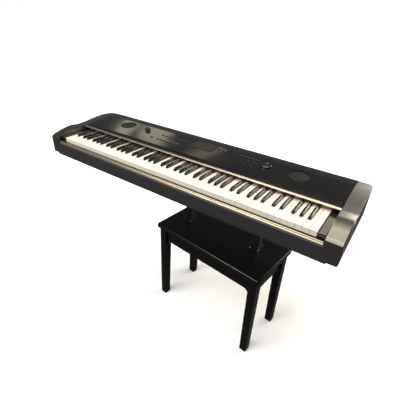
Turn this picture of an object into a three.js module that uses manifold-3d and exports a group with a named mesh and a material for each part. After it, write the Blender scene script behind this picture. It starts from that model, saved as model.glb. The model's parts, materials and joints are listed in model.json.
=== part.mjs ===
// Eighty-eight key digital piano carried by a low four-legged wooden stand and a steel riser.
// Millimetres. +X runs up the keyboard from bass to treble, +Y to the back, +Z up from the floor.
// The origin is on the floor, in the middle of the piano's width and depth.
import * as THREE from 'three';
import { mergeVertices } from 'three/addons/utils/BufferGeometryUtils.js';
import Module from 'manifold-3d';

const wasm = await Module();
wasm.setup();

// ---- driving dimensions -------------------------------------------------------------------

// General clearances
const TOUCH_GAP = 0.3;          // between fixed pieces that sit against each other
const SLIDE_GAP = 0.4;          // around a button cap in its hole
const ROUND_SIDES = 20;         // sides of a turned piece
const SMALL_SIDES = 10;         // sides of a small round cap and its hole
const GRILLE_SIDES = 28;        // sides of a loudspeaker grille and of the data wheel

// Keys, measured from the front edge and the top of the white keys
const WHITE_COUNT = 52;
const WHITE_PITCH = 23.5;
const KEY_GAP = 1;              // between neighbouring white keys
const KEY_TOP_HEIGHT = 800;     // white key tops above the floor
const WHITE_THICKNESS = 20;
const WHITE_VISIBLE = 150;      // white key length in front of the panel
const BLACK_WIDTH = 11;
const BLACK_TOP_WIDTH = 9.4;
const BLACK_START = 50;         // front of the black keys behind the front of the white ones
const BLACK_RISE = 11.5;        // black key tops above the white ones
const BLACK_SLOPE = 6;          // length of the sloping front of a black key
const BLACK_SINK = 16;          // how far a black key reaches below the white tops
const BLACK_SIDE_GAP = 1.2;     // between a black key and the white keys beside it
const BLACK_OFFSETS = { 1: -2.75, 3: 2.75, 6: -4, 8: 0, 10: 4 };  // off the crack, by semitone
const KEY_TAIL = 225;           // rear end of the keys
const KEY_HEEL = 26;            // full-width block at the rear of a white key
const TAIL_LIFT = 3.5;          // underside of a black key's tail above the white key tops
const TAIL_THICKNESS = 6.5;
const GANG_BAR = 8;             // depth of the bar that joins a gang of keys
const KEY_PIVOT_INSET = 4;      // pivot ahead of the rear end of the keys
const KEY_TRAVEL = 10;          // at the front edge of a white key

// Case of the piano
const CASE_FRONT = -22;
const CASE_DEPTH = 417;
const CASE_BOTTOM = -88;
const FLOOR_THICKNESS = 6;
const FLOOR_UNDER_CHEEK = 20;   // how far the floor reaches under each cheek
const CHEEK_WIDTH = 53.5;
const CHEEK_FRONT_RADIUS = 6;
const CHEEK_REAR_RADIUS = 50;
const CHEEK_LIFT = 2;           // cheek above the floor plate
const CHEEK_BEVEL = 3;
const END_BLOCK_WIDTH = 25.5;
const END_BLOCK_GAP = 2;
const SLIP_THICKNESS = 14;
const LEDGE_HEIGHT = 10;
const LEDGE_TOP = -18;          // below the white key tops
const LEDGE_INSET = 1.5;
const NOSE_FRONT = 139;         // front of the control panel
const NOSE_TOP = 20;
const NOSE_UNDERSIDE = 14;
const NOSE_RADIUS = 2;
const LIP_DEPTH = 21;
const CREASE_Y = 168;
const CREASE_Z = 27;
const RIDGE_Y = 312;
const RIDGE_Z = 39;
const PANEL_THICKNESS = 3;
const REAR_INSET = 3;           // rear wall ahead of the backs of the cheeks
const REAR_WALL = 8;
const REAR_TOP = 22;
const FELT_DEPTH = 6;
const FELT_CLEARANCE = 0.8;

// Controls, placed on the sloping face of the panel: x along the keyboard, s up the slope
const BUTTON_TRAVEL = 1.5;
const BOARD_GAP = 1.6;          // under a button that is pressed right in
const BOARD_THICKNESS = 1.6;
const CAP_RISE = 2.4;
const CAP_REACH = 4.8;          // cap's lower end below the panel's upper face
const CAP_CORNER = 1.5;
const BANK_MARGIN = 7;          // carrier beyond the middle of its outermost caps
const BANK_SHEET = 0.6;         // half the thickness of a carrier
const TONE_CAP = [11, 8];
const TONE_ROW_S = 51;
const TONE_FIRST_X = -254;
const TONE_SECOND_X = -215;
const TONE_PITCH = 18.5;
const TONE_COUNT = 8;
const VOICE_CAP = [11, 6];
const VOICE_ROW_S = 98;
const VOICE_FIRST_X = -224;
const VOICE_PITCH = 21.5;
const VOICE_COUNT = 8;
const CURSOR_CAP = [15, 9];
const CURSOR_S = 117;
const CURSOR_XS = [80, 110];
const MENU_RADIUS = 5;
const MENU_START = [162, 64];
const MENU_PITCH = [25, 27];
const MENU_GRID = [5, 3];
const KNOB_RADIUS = 13;
const KNOB_HEIGHT = 13;
const KNOB_PLACE = [-326, 102];
const DIAL_RADIUS = 21;
const DIAL_HEIGHT = 6.5;
const DIMPLE_BALL = 9;
const DIAL_PLACE = [314, 96];
const SHAFT_RADIUS = 3;
const SHAFT_GAP = 0.6;
const DISPLAY_SIZE = [106, 62];
const DISPLAY_PLACE = [8, 108];
const GRILLE_RADIUS = 40;
const GRILLE_PLACE = [452, 96];
const GRILLE_THICKNESS = 2;
const DRIVER_DEPTH = 18;

// Rear connections
const POWER_X = 520;
const POWER_Z = -40;
const POWER_RADIUS = 7;
const POWER_RISE = 2.5;         // power button out of the rear wall
const POWER_INSIDE = 16;
const INLET_X = 570;
const INLET_SIZE = [28, 20];
const INLET_SOCKET = [18, 9];
const INLET_FLANGE = 4;
const INLET_DEPTH = 22;

// Wooden stand, in its own turned frame
const STAND_X = 173;
const STAND_Y = 28;
const STAND_TURN = -5.7;        // degrees
const STAND_WIDTH = 558;        // over the legs
const STAND_DEPTH = 261;
const STAND_HEIGHT = 456;
const TOP_THICKNESS = 22;
const TOP_OVERHANG = 12;
const TOP_EDGE = 7;
const TOP_CORNER = 10;
const LEG_TOP = 38;
const LEG_FOOT = 33;
const APRON_DROP = 70;          // apron height under the top
const APRON_THICKNESS = 18;
const BRACKET_RADIUS = 24;
const BRACKET_FOOT = 3;         // width of a bracket's lower end

// Steel riser between the stand and the piano
const RISER_XS = [-200, 166];   // from the middle of the stand
const RISER_Y = 53;
const POST_WIDTH = 32;
const BASE_SIZE = [46, 64];
const BASE_THICKNESS = 4;
const ARM_LENGTH = 300;
const ARM_WIDTH = 36;
const ARM_HEIGHT = 22;

// ---- derived places -----------------------------------------------------------------------

const KEYBOARD_HALF = WHITE_COUNT * WHITE_PITCH / 2;
const BLOCK_INNER = KEYBOARD_HALF + END_BLOCK_GAP;
const CHEEK_INNER = BLOCK_INNER + END_BLOCK_WIDTH + END_BLOCK_GAP;
const CASE_HALF = CHEEK_INNER + CHEEK_WIDTH;
const CASE_BACK = CASE_FRONT + CASE_DEPTH;
const FLOOR_TOP = CASE_BOTTOM + FLOOR_THICKNESS;
const STANDING = FLOOR_TOP + TOUCH_GAP;            // lowest point of what stands on the floor
const INNER_HALF = CHEEK_INNER - TOUCH_GAP;        // half width of what fits between the cheeks
const REAR_FACE = CASE_BACK - REAR_INSET;
const HEEL_START = KEY_TAIL - KEY_HEEL;
const PIVOT_Y = KEY_TAIL - KEY_PIVOT_INSET;
const TAIL_TOP = TAIL_LIFT + TAIL_THICKNESS;
const KEY_DROP = KEY_TRAVEL / PIVOT_Y;             // slope of a key that is pressed right down
const PANEL_SLOPE = Math.atan2(RIDGE_Z - CREASE_Z, RIDGE_Y - CREASE_Y);
const STAND_UNDER_TOP = STAND_HEIGHT - TOP_THICKNESS - TOUCH_GAP;

// ---- helpers ------------------------------------------------------------------------------

const ALONG_X = new THREE.Matrix4().makeBasis(
  new THREE.Vector3(0, 1, 0), new THREE.Vector3(0, 0, 1), new THREE.Vector3(1, 0, 0));
const ALONG_Y = new THREE.Matrix4().makeBasis(
  new THREE.Vector3(1, 0, 0), new THREE.Vector3(0, 0, 1), new THREE.Vector3(0, -1, 0));

// Position-only copy of a geometry with its shared corners merged.
function welded(geometry) {
  const bare = geometry.clone();
  bare.deleteAttribute('normal');
  bare.deleteAttribute('uv');
  return mergeVertices(bare, 1e-4);
}

function toSolid(geometry) {
  const bare = welded(geometry);
  return new wasm.Manifold(new wasm.Mesh({
    numProp: 3,
    vertProperties: new Float32Array(bare.attributes.position.array),
    triVerts: new Uint32Array(bare.index.array),
  }));
}

function toGeometry(solid) {
  const mesh = solid.getMesh();
  const geometry = new THREE.BufferGeometry();
  geometry.setAttribute('position', new THREE.BufferAttribute(mesh.vertProperties, 3));
  geometry.setIndex(new THREE.BufferAttribute(mesh.triVerts, 1));
  geometry.computeVertexNormals();
  return geometry;
}

function join(first, others) {
  return toGeometry(others.reduce((solid, other) => solid.add(toSolid(other)), toSolid(first)));
}

function cut(body, tools) {
  return toGeometry(tools.reduce((solid, tool) => solid.subtract(toSolid(tool)), toSolid(body)));
}

function common(first, second) {
  return toGeometry(toSolid(first).intersect(toSolid(second)));
}

// The piece as seen in a mirror across the plane x = 0, or across y = 0.
function mirrored(geometry, axis) {
  const copy = welded(geometry);
  copy.scale(axis === 'x' ? -1 : 1, axis === 'y' ? -1 : 1, 1);
  copy.index.array.reverse();
  copy.computeVertexNormals();
  return copy;
}

function box(x0, x1, y0, y1, z0, z1) {
  const geometry = new THREE.BoxGeometry(x1 - x0, y1 - y0, z1 - z0);
  return geometry.translate((x0 + x1) / 2, (y0 + y1) / 2, (z0 + z1) / 2);
}

function polygon(points) {
  return new THREE.Shape(points.map(([x, y]) => new THREE.Vector2(x, y)));
}

// A side view, drawn as (y, z), run from x0 to x1.
function runAlongX(shape, x0, x1, curveSegments = 4) {
  const geometry = new THREE.ExtrudeGeometry(shape, { depth: x1 - x0, bevelEnabled: false, curveSegments });
  return geometry.applyMatrix4(ALONG_X).translate(x0, 0, 0);
}

// A front view, drawn as (x, z), run from y0 to y1.
function runAlongY(shape, y0, y1, curveSegments = 6) {
  const geometry = new THREE.ExtrudeGeometry(shape, { depth: y1 - y0, bevelEnabled: false, curveSegments });
  return geometry.applyMatrix4(ALONG_Y).translate(0, y1, 0);
}

// A plan, drawn as (x, y), run from z0 to z1.
function runUp(shape, z0, z1, curveSegments = 2) {
  const geometry = new THREE.ExtrudeGeometry(shape, { depth: z1 - z0, bevelEnabled: false, curveSegments });
  return geometry.translate(0, 0, z0);
}

// A round piece on the z axis from its outline, given as (radius, z) pairs that start and end on the axis.
function turned(outline, segments = ROUND_SIDES) {
  const points = outline.map(([radius, z]) => new THREE.Vector2(radius, z));
  return new THREE.LatheGeometry(points, segments).rotateX(Math.PI / 2);
}

function disc(radius, z0, z1, segments = ROUND_SIDES) {
  return turned([[0, z0], [radius, z0], [radius, z1], [0, z1]], segments);
}

function roundedRectangle(width, height, radius) {
  const shape = new THREE.Shape();
  const [w, h] = [width / 2, height / 2];
  shape.moveTo(-w + radius, -h);
  shape.lineTo(w - radius, -h);
  shape.absarc(w - radius, -h + radius, radius, -Math.PI / 2, 0);
  shape.lineTo(w, h - radius);
  shape.absarc(w - radius, h - radius, radius, 0, Math.PI / 2);
  shape.lineTo(-w + radius, h);
  shape.absarc(-w + radius, h - radius, radius, Math.PI / 2, Math.PI);
  shape.lineTo(-w, -h + radius);
  shape.absarc(-w + radius, -h + radius, radius, Math.PI, 1.5 * Math.PI);
  return shape;
}

const FINISHES = {
  blackGloss: [0x111113, 0.18, 0],
  blackSatin: [0x1b1c1f, 0.5, 0],
  slipPaint: [0x2c2d31, 0.45, 0],
  charcoal: [0x2c2c2e, 0.35, 0],
  darkMetal: [0x6e6350, 0.3, 0.8],
  ivory: [0xf2ecdd, 0.3, 0],
  ebony: [0x0c0c0d, 0.2, 0],
  felt: [0x8c1f1c, 0.95, 0],
  glass: [0x20242a, 0.08, 0],
  steel: [0x8b8d90, 0.4, 0.9],
  blackSteel: [0x1e1f22, 0.5, 0.6],
  board: [0x1c5a34, 0.6, 0],
  chrome: [0xd6d8da, 0.15, 1],
  cone: [0x26272a, 0.8, 0],
  lacquer: [0x0f0e0e, 0.3, 0],
};

function piece(name, geometry, finish) {
  const [color, roughness, metalness] = FINISHES[finish];
  const material = new THREE.MeshStandardMaterial({ color, roughness, metalness });
  const mesh = new THREE.Mesh(geometry, material);
  mesh.name = name;
  return mesh;
}

// ---- keys ---------------------------------------------------------------------------------

// Every key from the lowest A: semitone counts from C, and white keys know their place in the row.
function listKeys() {
  const keys = [];
  let place = 0;
  for (let number = 0; number < 88; number += 1) {
    const semitone = (number + 9) % 12;
    const octave = Math.floor((number + 9) / 12);
    const black = semitone in BLACK_OFFSETS;
    const crack = -KEYBOARD_HALF + place * WHITE_PITCH;
    const x = black ? crack + BLACK_OFFSETS[semitone] : crack + WHITE_PITCH / 2;
    keys.push({ number, semitone, octave, black, x });
    if (!black) place += 1;
  }
  return keys;
}

const KEYS = listKeys();
const MIDDLE_OCTAVE = 4;
const NOTE_NAMES = ['c', 'c_sharp', 'd', 'd_sharp', 'e', 'f', 'f_sharp', 'g', 'g_sharp', 'a', 'a_sharp', 'b'];

// White key: full width in front and at the heel, cut away beside each black key.
function whiteKey(key) {
  const half = (WHITE_PITCH - KEY_GAP) / 2;
  const [left, right] = [key.x - half, key.x + half];
  const [start, end] = [BLACK_START - BLACK_SIDE_GAP, HEEL_START];
  const reach = BLACK_WIDTH / 2 + BLACK_SIDE_GAP;
  const neighbours = KEYS.filter((other) => other.black && Math.abs(other.x - key.x) < WHITE_PITCH);
  const above = neighbours.find((other) => other.x > key.x);
  const below = neighbours.find((other) => other.x < key.x);
  const plan = [[left, 0], [right, 0]];
  if (above) plan.push([right, start], [above.x - reach, start], [above.x - reach, end], [right, end]);
  plan.push([right, KEY_TAIL], [left, KEY_TAIL]);
  if (below) plan.push([left, end], [below.x + reach, end], [below.x + reach, start], [left, start]);
  return runUp(polygon(plan), -WHITE_THICKNESS, 0);
}

// Black key: tapering playing part with a sloping front, and a thin tail over the white heels.
function blackKey(key) {
  const side = polygon([
    [BLACK_START, -BLACK_SINK], [BLACK_START, 1], [BLACK_START + BLACK_SLOPE, BLACK_RISE],
    [WHITE_VISIBLE, BLACK_RISE], [WHITE_VISIBLE, TAIL_TOP], [KEY_TAIL, TAIL_TOP], [KEY_TAIL, TAIL_LIFT],
    [WHITE_VISIBLE + BLACK_SLOPE, TAIL_LIFT], [WHITE_VISIBLE, -BLACK_SINK],
  ]);
  const front = polygon([
    [-BLACK_WIDTH / 2, -BLACK_SINK - 1], [BLACK_WIDTH / 2, -BLACK_SINK - 1], [BLACK_WIDTH / 2, 0],
    [BLACK_TOP_WIDTH / 2, BLACK_RISE + 0.1], [-BLACK_TOP_WIDTH / 2, BLACK_RISE + 0.1], [-BLACK_WIDTH / 2, 0],
  ]);
  const solid = common(runAlongX(side, -BLACK_WIDTH, BLACK_WIDTH), runAlongY(front, 0, KEY_TAIL + 1));
  return solid.translate(key.x, 0, 0);
}

// Several keys of one colour moulded on one rear bar.
function keyGang(keys, makeKey, barBottom, barTop) {
  const xs = keys.map((key) => key.x);
  const reach = BLACK_TOP_WIDTH / 2 - 1;
  const bar = box(Math.min(...xs) - reach, Math.max(...xs) + reach, KEY_TAIL - GANG_BAR, KEY_TAIL,
    barBottom, barTop);
  return join(bar, keys.map(makeKey));
}

function addKeys(group) {
  const middle = KEYS.filter((key) => key.octave === MIDDLE_OCTAVE);
  for (const key of middle) {
    const shape = key.black ? blackKey(key) : whiteKey(key);
    group.add(piece(`key_${NOTE_NAMES[key.semitone]}`, shape, key.black ? 'ebony' : 'ivory'));
  }
  const sides = {
    bass: KEYS.filter((key) => key.octave < MIDDLE_OCTAVE),
    treble: KEYS.filter((key) => key.octave > MIDDLE_OCTAVE),
  };
  for (const [side, keys] of Object.entries(sides)) {
    const white = keyGang(keys.filter((key) => !key.black), whiteKey, -WHITE_THICKNESS, 0);
    const black = keyGang(keys.filter((key) => key.black), blackKey, TAIL_LIFT, TAIL_TOP);
    group.add(piece(`white_keys_${side}`, white, 'ivory'));
    group.add(piece(`black_keys_${side}`, black, 'ebony'));
  }
}

// Folded steel chassis under the keys: base, front guide rail and a rear rail under the heels.
function keyFrame() {
  const sheet = 3;
  const guide = [18, -WHITE_THICKNESS - KEY_TRAVEL - 4];
  const heelRail = -WHITE_THICKNESS - KEY_HEEL * KEY_DROP - 1;
  const outline = polygon([
    [guide[0], STANDING], [KEY_TAIL + sheet, STANDING], [KEY_TAIL + sheet, heelRail],
    [HEEL_START, heelRail], [HEEL_START, heelRail - sheet], [KEY_TAIL, heelRail - sheet],
    [KEY_TAIL, STANDING + sheet], [guide[0] + sheet, STANDING + sheet], [guide[0] + sheet, guide[1]],
    [guide[0], guide[1]],
  ]);
  return runAlongX(outline, -KEYBOARD_HALF, KEYBOARD_HALF);
}

// ---- case ---------------------------------------------------------------------------------

// Floor plate that everything else in the piano stands on.
function bottomCase() {
  const reach = CHEEK_INNER + FLOOR_UNDER_CHEEK;
  return box(-reach, reach, CASE_FRONT + 2, REAR_FACE - 2, CASE_BOTTOM, FLOOR_TOP);
}

// Side view of a cheek, rising from the rounded front to a hump, dipping, and rising to the rear ridge.
function cheekOutline() {
  const bottom = FLOOR_TOP + CHEEK_LIFT;
  const shape = new THREE.Shape();
  shape.moveTo(CASE_FRONT, bottom);
  shape.lineTo(CASE_BACK, bottom);
  shape.lineTo(CASE_BACK, 12);
  shape.quadraticCurveTo(CASE_BACK, 28, CASE_BACK - 22, 31);
  shape.quadraticCurveTo(RIDGE_Y + 25, RIDGE_Z, RIDGE_Y - 22, RIDGE_Z);
  shape.splineThru([[CREASE_Y + 50, 31], [CREASE_Y + 8, 25], [CREASE_Y - 40, 22], [88, 25], [34, 16],
    [CASE_FRONT + 12, 3]].map(([y, z]) => new THREE.Vector2(y, z)));
  shape.quadraticCurveTo(CASE_FRONT, -2, CASE_FRONT, -10);
  return shape;
}

// Plan of the right cheek with its large rear corner and small front corner.
function cheekPlan() {
  const front = CHEEK_FRONT_RADIUS;
  const rear = CHEEK_REAR_RADIUS;
  const shape = new THREE.Shape();
  shape.moveTo(CHEEK_INNER, CASE_FRONT);
  shape.lineTo(CASE_HALF - front, CASE_FRONT);
  shape.absarc(CASE_HALF - front, CASE_FRONT + front, front, -Math.PI / 2, 0);
  shape.lineTo(CASE_HALF, CASE_BACK - rear);
  shape.absarc(CASE_HALF - rear, CASE_BACK - rear, rear, 0, Math.PI / 2);
  shape.lineTo(CHEEK_INNER, CASE_BACK);
  return shape;
}

function cheek(side) {
  const geometry = new THREE.ExtrudeGeometry(cheekOutline(), {
    depth: CHEEK_WIDTH - CHEEK_BEVEL, bevelThickness: CHEEK_BEVEL, bevelSize: CHEEK_BEVEL,
    bevelOffset: -CHEEK_BEVEL, bevelSegments: 1, curveSegments: 3,
  });
  geometry.applyMatrix4(ALONG_X).translate(CHEEK_INNER, 0, 0);
  const right = common(geometry, runUp(cheekPlan(), CASE_BOTTOM, RIDGE_Z + 10, 5));
  return side > 0 ? right : mirrored(right, 'x');
}

function endBlock(side) {
  const right = box(BLOCK_INNER, BLOCK_INNER + END_BLOCK_WIDTH, 0, WHITE_VISIBLE, STANDING, 0);
  return side > 0 ? right : mirrored(right, 'x');
}

function keySlip() {
  const back = CASE_FRONT + SLIP_THICKNESS;
  const top = LEDGE_TOP - LEDGE_HEIGHT;
  const radius = 4;
  const shape = new THREE.Shape();
  shape.moveTo(CASE_FRONT, STANDING);
  shape.lineTo(back, STANDING);
  shape.lineTo(back, top);
  shape.lineTo(CASE_FRONT + radius, top);
  shape.absarc(CASE_FRONT + radius, top - radius, radius, Math.PI / 2, Math.PI);
  return runAlongX(shape, -INNER_HALF, INNER_HALF);
}

// Bright two-step strip along the top of the key slip.
function slipLedge() {
  const front = CASE_FRONT + LEDGE_INSET;
  const back = CASE_FRONT + SLIP_THICKNESS - LEDGE_INSET;
  const bottom = LEDGE_TOP - LEDGE_HEIGHT + TOUCH_GAP;
  const step = (front + back) / 2;
  const tread = bottom + LEDGE_HEIGHT / 2;
  const outline = polygon([
    [front, bottom], [back, bottom], [back, LEDGE_TOP], [step + 1, LEDGE_TOP], [step, LEDGE_TOP - 1],
    [step, tread], [front + 1, tread], [front, tread - 1],
  ]);
  return runAlongX(outline, -INNER_HALF + 2, INNER_HALF - 2);
}

// Felt comb under the panel's lip: it fills the gaps between the black keys.
function feltStrip() {
  const strip = box(-KEYBOARD_HALF, KEYBOARD_HALF, WHITE_VISIBLE, WHITE_VISIBLE + FELT_DEPTH, FELT_CLEARANCE,
    NOSE_UNDERSIDE - TOUCH_GAP);
  const half = BLACK_WIDTH / 2 + BLACK_SIDE_GAP;
  const notches = KEYS.filter((key) => key.black).map((key) => box(key.x - half, key.x + half,
    WHITE_VISIBLE - 1, WHITE_VISIBLE + FELT_DEPTH + 1, 0, BLACK_RISE + FELT_CLEARANCE));
  return cut(strip, notches);
}

// Sheet outline of the panel as (y, z): the outer face out and back, then the inner face home.
function panelOutline() {
  const t = PANEL_THICKNESS;
  const rear = REAR_FACE;
  const bottom = REAR_TOP + TOUCH_GAP;
  const shape = new THREE.Shape();
  shape.moveTo(NOSE_FRONT + NOSE_RADIUS, NOSE_UNDERSIDE);
  shape.lineTo(NOSE_FRONT + LIP_DEPTH, NOSE_UNDERSIDE);
  shape.lineTo(NOSE_FRONT + LIP_DEPTH, NOSE_UNDERSIDE + t);
  shape.lineTo(NOSE_FRONT + t, NOSE_UNDERSIDE + t);
  shape.lineTo(NOSE_FRONT + t, NOSE_TOP - t / 2);
  shape.lineTo(CREASE_Y, CREASE_Z - t);
  shape.lineTo(RIDGE_Y, RIDGE_Z - t);
  shape.quadraticCurveTo(rear - 14, RIDGE_Z - t - 2, rear - t, bottom);
  shape.lineTo(rear, bottom);
  shape.quadraticCurveTo(rear - 8, RIDGE_Z - 1, RIDGE_Y, RIDGE_Z);
  shape.lineTo(CREASE_Y, CREASE_Z);
  shape.lineTo(NOSE_FRONT + NOSE_RADIUS, NOSE_TOP);
  shape.lineTo(NOSE_FRONT, NOSE_TOP - NOSE_RADIUS);
  shape.lineTo(NOSE_FRONT, NOSE_UNDERSIDE + NOSE_RADIUS);
  return shape;
}

// Moves a piece drawn on the sloping face of the panel into the frame of the keyboard.
function onSlope(geometry) {
  return geometry.rotateX(PANEL_SLOPE).translate(0, CREASE_Y, CREASE_Z);
}

function capHole([width, height], x, s) {
  const [w, h] = [width / 2 + SLIDE_GAP, height / 2 + SLIDE_GAP];
  return box(x - w, x + w, s - h, s + h, -PANEL_THICKNESS * 2, PANEL_THICKNESS);
}

function roundHole(radius, x, s, segments = SMALL_SIDES) {
  return disc(radius, -PANEL_THICKNESS * 2, PANEL_THICKNESS, segments).translate(x, s, 0);
}

function controlPanel() {
  const holes = [
    ...tonePlaces().map((x) => capHole(TONE_CAP, x, TONE_ROW_S)),
    ...voicePlaces().map((x) => capHole(VOICE_CAP, x, VOICE_ROW_S)),
    ...CURSOR_XS.map((x) => capHole(CURSOR_CAP, x, CURSOR_S)),
    ...menuPlaces().map(([x, s]) => roundHole(MENU_RADIUS + SLIDE_GAP, x, s)),
    roundHole(SHAFT_RADIUS + SHAFT_GAP, ...KNOB_PLACE),
    roundHole(SHAFT_RADIUS + SHAFT_GAP, ...DIAL_PLACE),
    capHole(DISPLAY_SIZE, ...DISPLAY_PLACE),
    ...[-1, 1].map((side) => roundHole(GRILLE_RADIUS + TOUCH_GAP, side * GRILLE_PLACE[0], GRILLE_PLACE[1],
      GRILLE_SIDES)),
  ];
  const sheet = runAlongX(panelOutline(), -INNER_HALF + 0.7, INNER_HALF - 0.7);
  return cut(sheet, holes.map(onSlope));
}

function rearPanel() {
  const wall = box(-INNER_HALF, INNER_HALF, REAR_FACE - REAR_WALL, REAR_FACE, STANDING, REAR_TOP);
  const button = facingBack(disc(POWER_RADIUS + SLIDE_GAP, -REAR_WALL * 2, REAR_WALL), POWER_X);
  const inlet = inletBlock(INLET_SIZE, TOUCH_GAP, REAR_FACE - REAR_WALL - 1, REAR_FACE + 1);
  return cut(wall, [button, inlet]);
}

// Turns a piece from standing on the z axis to pointing out of the rear wall.
function facingBack(geometry, x) {
  return geometry.rotateX(-Math.PI / 2).translate(x, REAR_FACE, POWER_Z);
}

// A block around the middle of the power inlet, margin bigger than size all round.
function inletBlock([width, height], margin, y0, y1) {
  const [w, h] = [width / 2 + margin, height / 2 + margin];
  return box(INLET_X - w, INLET_X + w, y0, y1, POWER_Z - h, POWER_Z + h);
}

function powerInlet() {
  const face = REAR_FACE + TOUCH_GAP;
  const body = inletBlock(INLET_SIZE, 0, face - INLET_DEPTH, face + 0.5);
  const flange = inletBlock(INLET_SIZE, INLET_FLANGE, face, face + 2);
  const socket = inletBlock(INLET_SOCKET, 0, face - INLET_DEPTH + 4, face + 3);
  return cut(join(body, [flange]), [socket]);
}

// ---- controls -----------------------------------------------------------------------------

function tonePlaces() {
  const places = [TONE_FIRST_X];
  for (let i = 0; i < TONE_COUNT - 1; i += 1) places.push(TONE_SECOND_X + i * TONE_PITCH);
  return places;
}

function voicePlaces() {
  return Array.from({ length: VOICE_COUNT }, (unused, i) => VOICE_FIRST_X + i * VOICE_PITCH);
}

function menuPlaces() {
  const places = [];
  for (let row = 0; row < MENU_GRID[1]; row += 1) {
    for (let column = 0; column < MENU_GRID[0]; column += 1) {
      places.push([MENU_START[0] + column * MENU_PITCH[0], MENU_START[1] + row * MENU_PITCH[1]]);
    }
  }
  return places;
}

// A rectangular cap with rounded corners, standing through the panel.
function cap([width, height]) {
  return runUp(roundedRectangle(width, height, CAP_CORNER), -CAP_REACH, CAP_RISE);
}

function plainCap([width, height]) {
  return box(-width / 2, width / 2, -height / 2, height / 2, -CAP_REACH, CAP_RISE);
}

// Caps that share one carrier under the panel.
function capBank(places, makeCap) {
  const [xs, ss] = [places.map(([x]) => x), places.map(([, s]) => s)];
  const [x0, x1] = [Math.min(...xs) - BANK_MARGIN, Math.max(...xs) + BANK_MARGIN];
  const [s0, s1] = [Math.min(...ss) - BANK_MARGIN, Math.max(...ss) + BANK_MARGIN];
  const carrier = box(x0, x1, s0, s1, -CAP_REACH - BANK_SHEET, -CAP_REACH + BANK_SHEET);
  return join(carrier, places.map(([x, s]) => makeCap().translate(x, s, 0)));
}

function volumeKnob() {
  const skirt = KNOB_RADIUS + 2;
  const knob = turned([[0, -CAP_REACH], [SHAFT_RADIUS, -CAP_REACH], [SHAFT_RADIUS, 0.5], [skirt, 0.5],
    [skirt, 2], [KNOB_RADIUS, 3], [KNOB_RADIUS - 1, KNOB_HEIGHT], [0, KNOB_HEIGHT]]);
  return cut(knob, [box(-0.8, 0.8, KNOB_RADIUS / 2, skirt, KNOB_HEIGHT - 1, KNOB_HEIGHT + 1)]);
}

// Data wheel with a finger dimple.
function dataDial() {
  const wheel = turned([[0, -CAP_REACH], [SHAFT_RADIUS, -CAP_REACH], [SHAFT_RADIUS, 0.5], [DIAL_RADIUS, 0.5],
    [DIAL_RADIUS, DIAL_HEIGHT - 1.5], [DIAL_RADIUS - 1.5, DIAL_HEIGHT], [0, DIAL_HEIGHT]], GRILLE_SIDES);
  const ball = new THREE.SphereGeometry(DIMPLE_BALL, 12, 8);
  return cut(wheel, [ball.translate(0, DIAL_RADIUS * 0.55, DIAL_HEIGHT + DIMPLE_BALL * 0.7)]);
}

function displayWindow() {
  const [width, height] = DISPLAY_SIZE;
  return runUp(roundedRectangle(width, height, 1), -PANEL_THICKNESS, -0.4);
}

function circuitBoard() {
  const left = KNOB_PLACE[0] - KNOB_RADIUS;
  const right = DIAL_PLACE[0] + DIAL_RADIUS;
  const top = -CAP_REACH - BANK_SHEET - BUTTON_TRAVEL - BOARD_GAP;
  return box(left, right, TONE_ROW_S - 16, CURSOR_S + 16, top - BOARD_THICKNESS, top);
}

function speakerGrille() {
  return disc(GRILLE_RADIUS, -PANEL_THICKNESS, -PANEL_THICKNESS + GRILLE_THICKNESS, GRILLE_SIDES);
}

// A shallow loudspeaker: rim, sloping basket and magnet, with the cone hollowed out of the front.
function speakerDriver() {
  const front = -PANEL_THICKNESS - 2;
  const rear = front - DRIVER_DEPTH;
  const magnet = GRILLE_RADIUS * 0.5;
  return turned([[0, rear], [magnet, rear], [magnet, rear + 7], [GRILLE_RADIUS - 2, front - 3],
    [GRILLE_RADIUS + 3, front - 2], [GRILLE_RADIUS + 3, front], [GRILLE_RADIUS - 3, front],
    [magnet * 0.6, front - 7], [0, front - 5]]);
}

function powerButton() {
  const outline = [[0, -POWER_INSIDE], [POWER_RADIUS, -POWER_INSIDE], [POWER_RADIUS, POWER_RISE - 0.5],
    [POWER_RADIUS - 0.5, POWER_RISE], [0, POWER_RISE]];
  return facingBack(turned(outline), POWER_X);
}

function slopeGroup() {
  const group = new THREE.Group();
  group.position.set(0, CREASE_Y, CREASE_Z);
  group.rotation.x = PANEL_SLOPE;
  return group;
}

function place(mesh, x, s) {
  mesh.position.set(x, s, 0);
  return mesh;
}

function addControls(group) {
  const slope = slopeGroup();
  tonePlaces().forEach((x, i) => {
    slope.add(place(piece(`tone_button_${i + 1}`, cap(TONE_CAP), 'blackSatin'), x, TONE_ROW_S));
  });
  CURSOR_XS.forEach((x, i) => {
    slope.add(place(piece(`cursor_button_${i + 1}`, cap(CURSOR_CAP), 'blackSatin'), x, CURSOR_S));
  });
  const voices = capBank(voicePlaces().map((x) => [x, VOICE_ROW_S]), () => plainCap(VOICE_CAP));
  const menus = capBank(menuPlaces(), () => disc(MENU_RADIUS, -CAP_REACH, CAP_RISE, SMALL_SIDES));
  slope.add(piece('voice_button_bank', voices, 'blackSatin'));
  slope.add(piece('menu_button_bank', menus, 'blackSatin'));
  slope.add(place(piece('volume_knob', volumeKnob(), 'blackSatin'), ...KNOB_PLACE));
  slope.add(place(piece('data_dial', dataDial(), 'chrome'), ...DIAL_PLACE));
  slope.add(place(piece('display_window', displayWindow(), 'glass'), ...DISPLAY_PLACE));
  slope.add(piece('circuit_board', circuitBoard(), 'board'));
  for (const [side, sign] of [['left', -1], ['right', 1]]) {
    const [x, s] = [sign * GRILLE_PLACE[0], GRILLE_PLACE[1]];
    slope.add(place(piece(`speaker_grille_${side}`, speakerGrille(), 'blackSteel'), x, s));
    slope.add(place(piece(`speaker_driver_${side}`, speakerDriver(), 'cone'), x, s));
  }
  group.add(slope);
}

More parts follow.
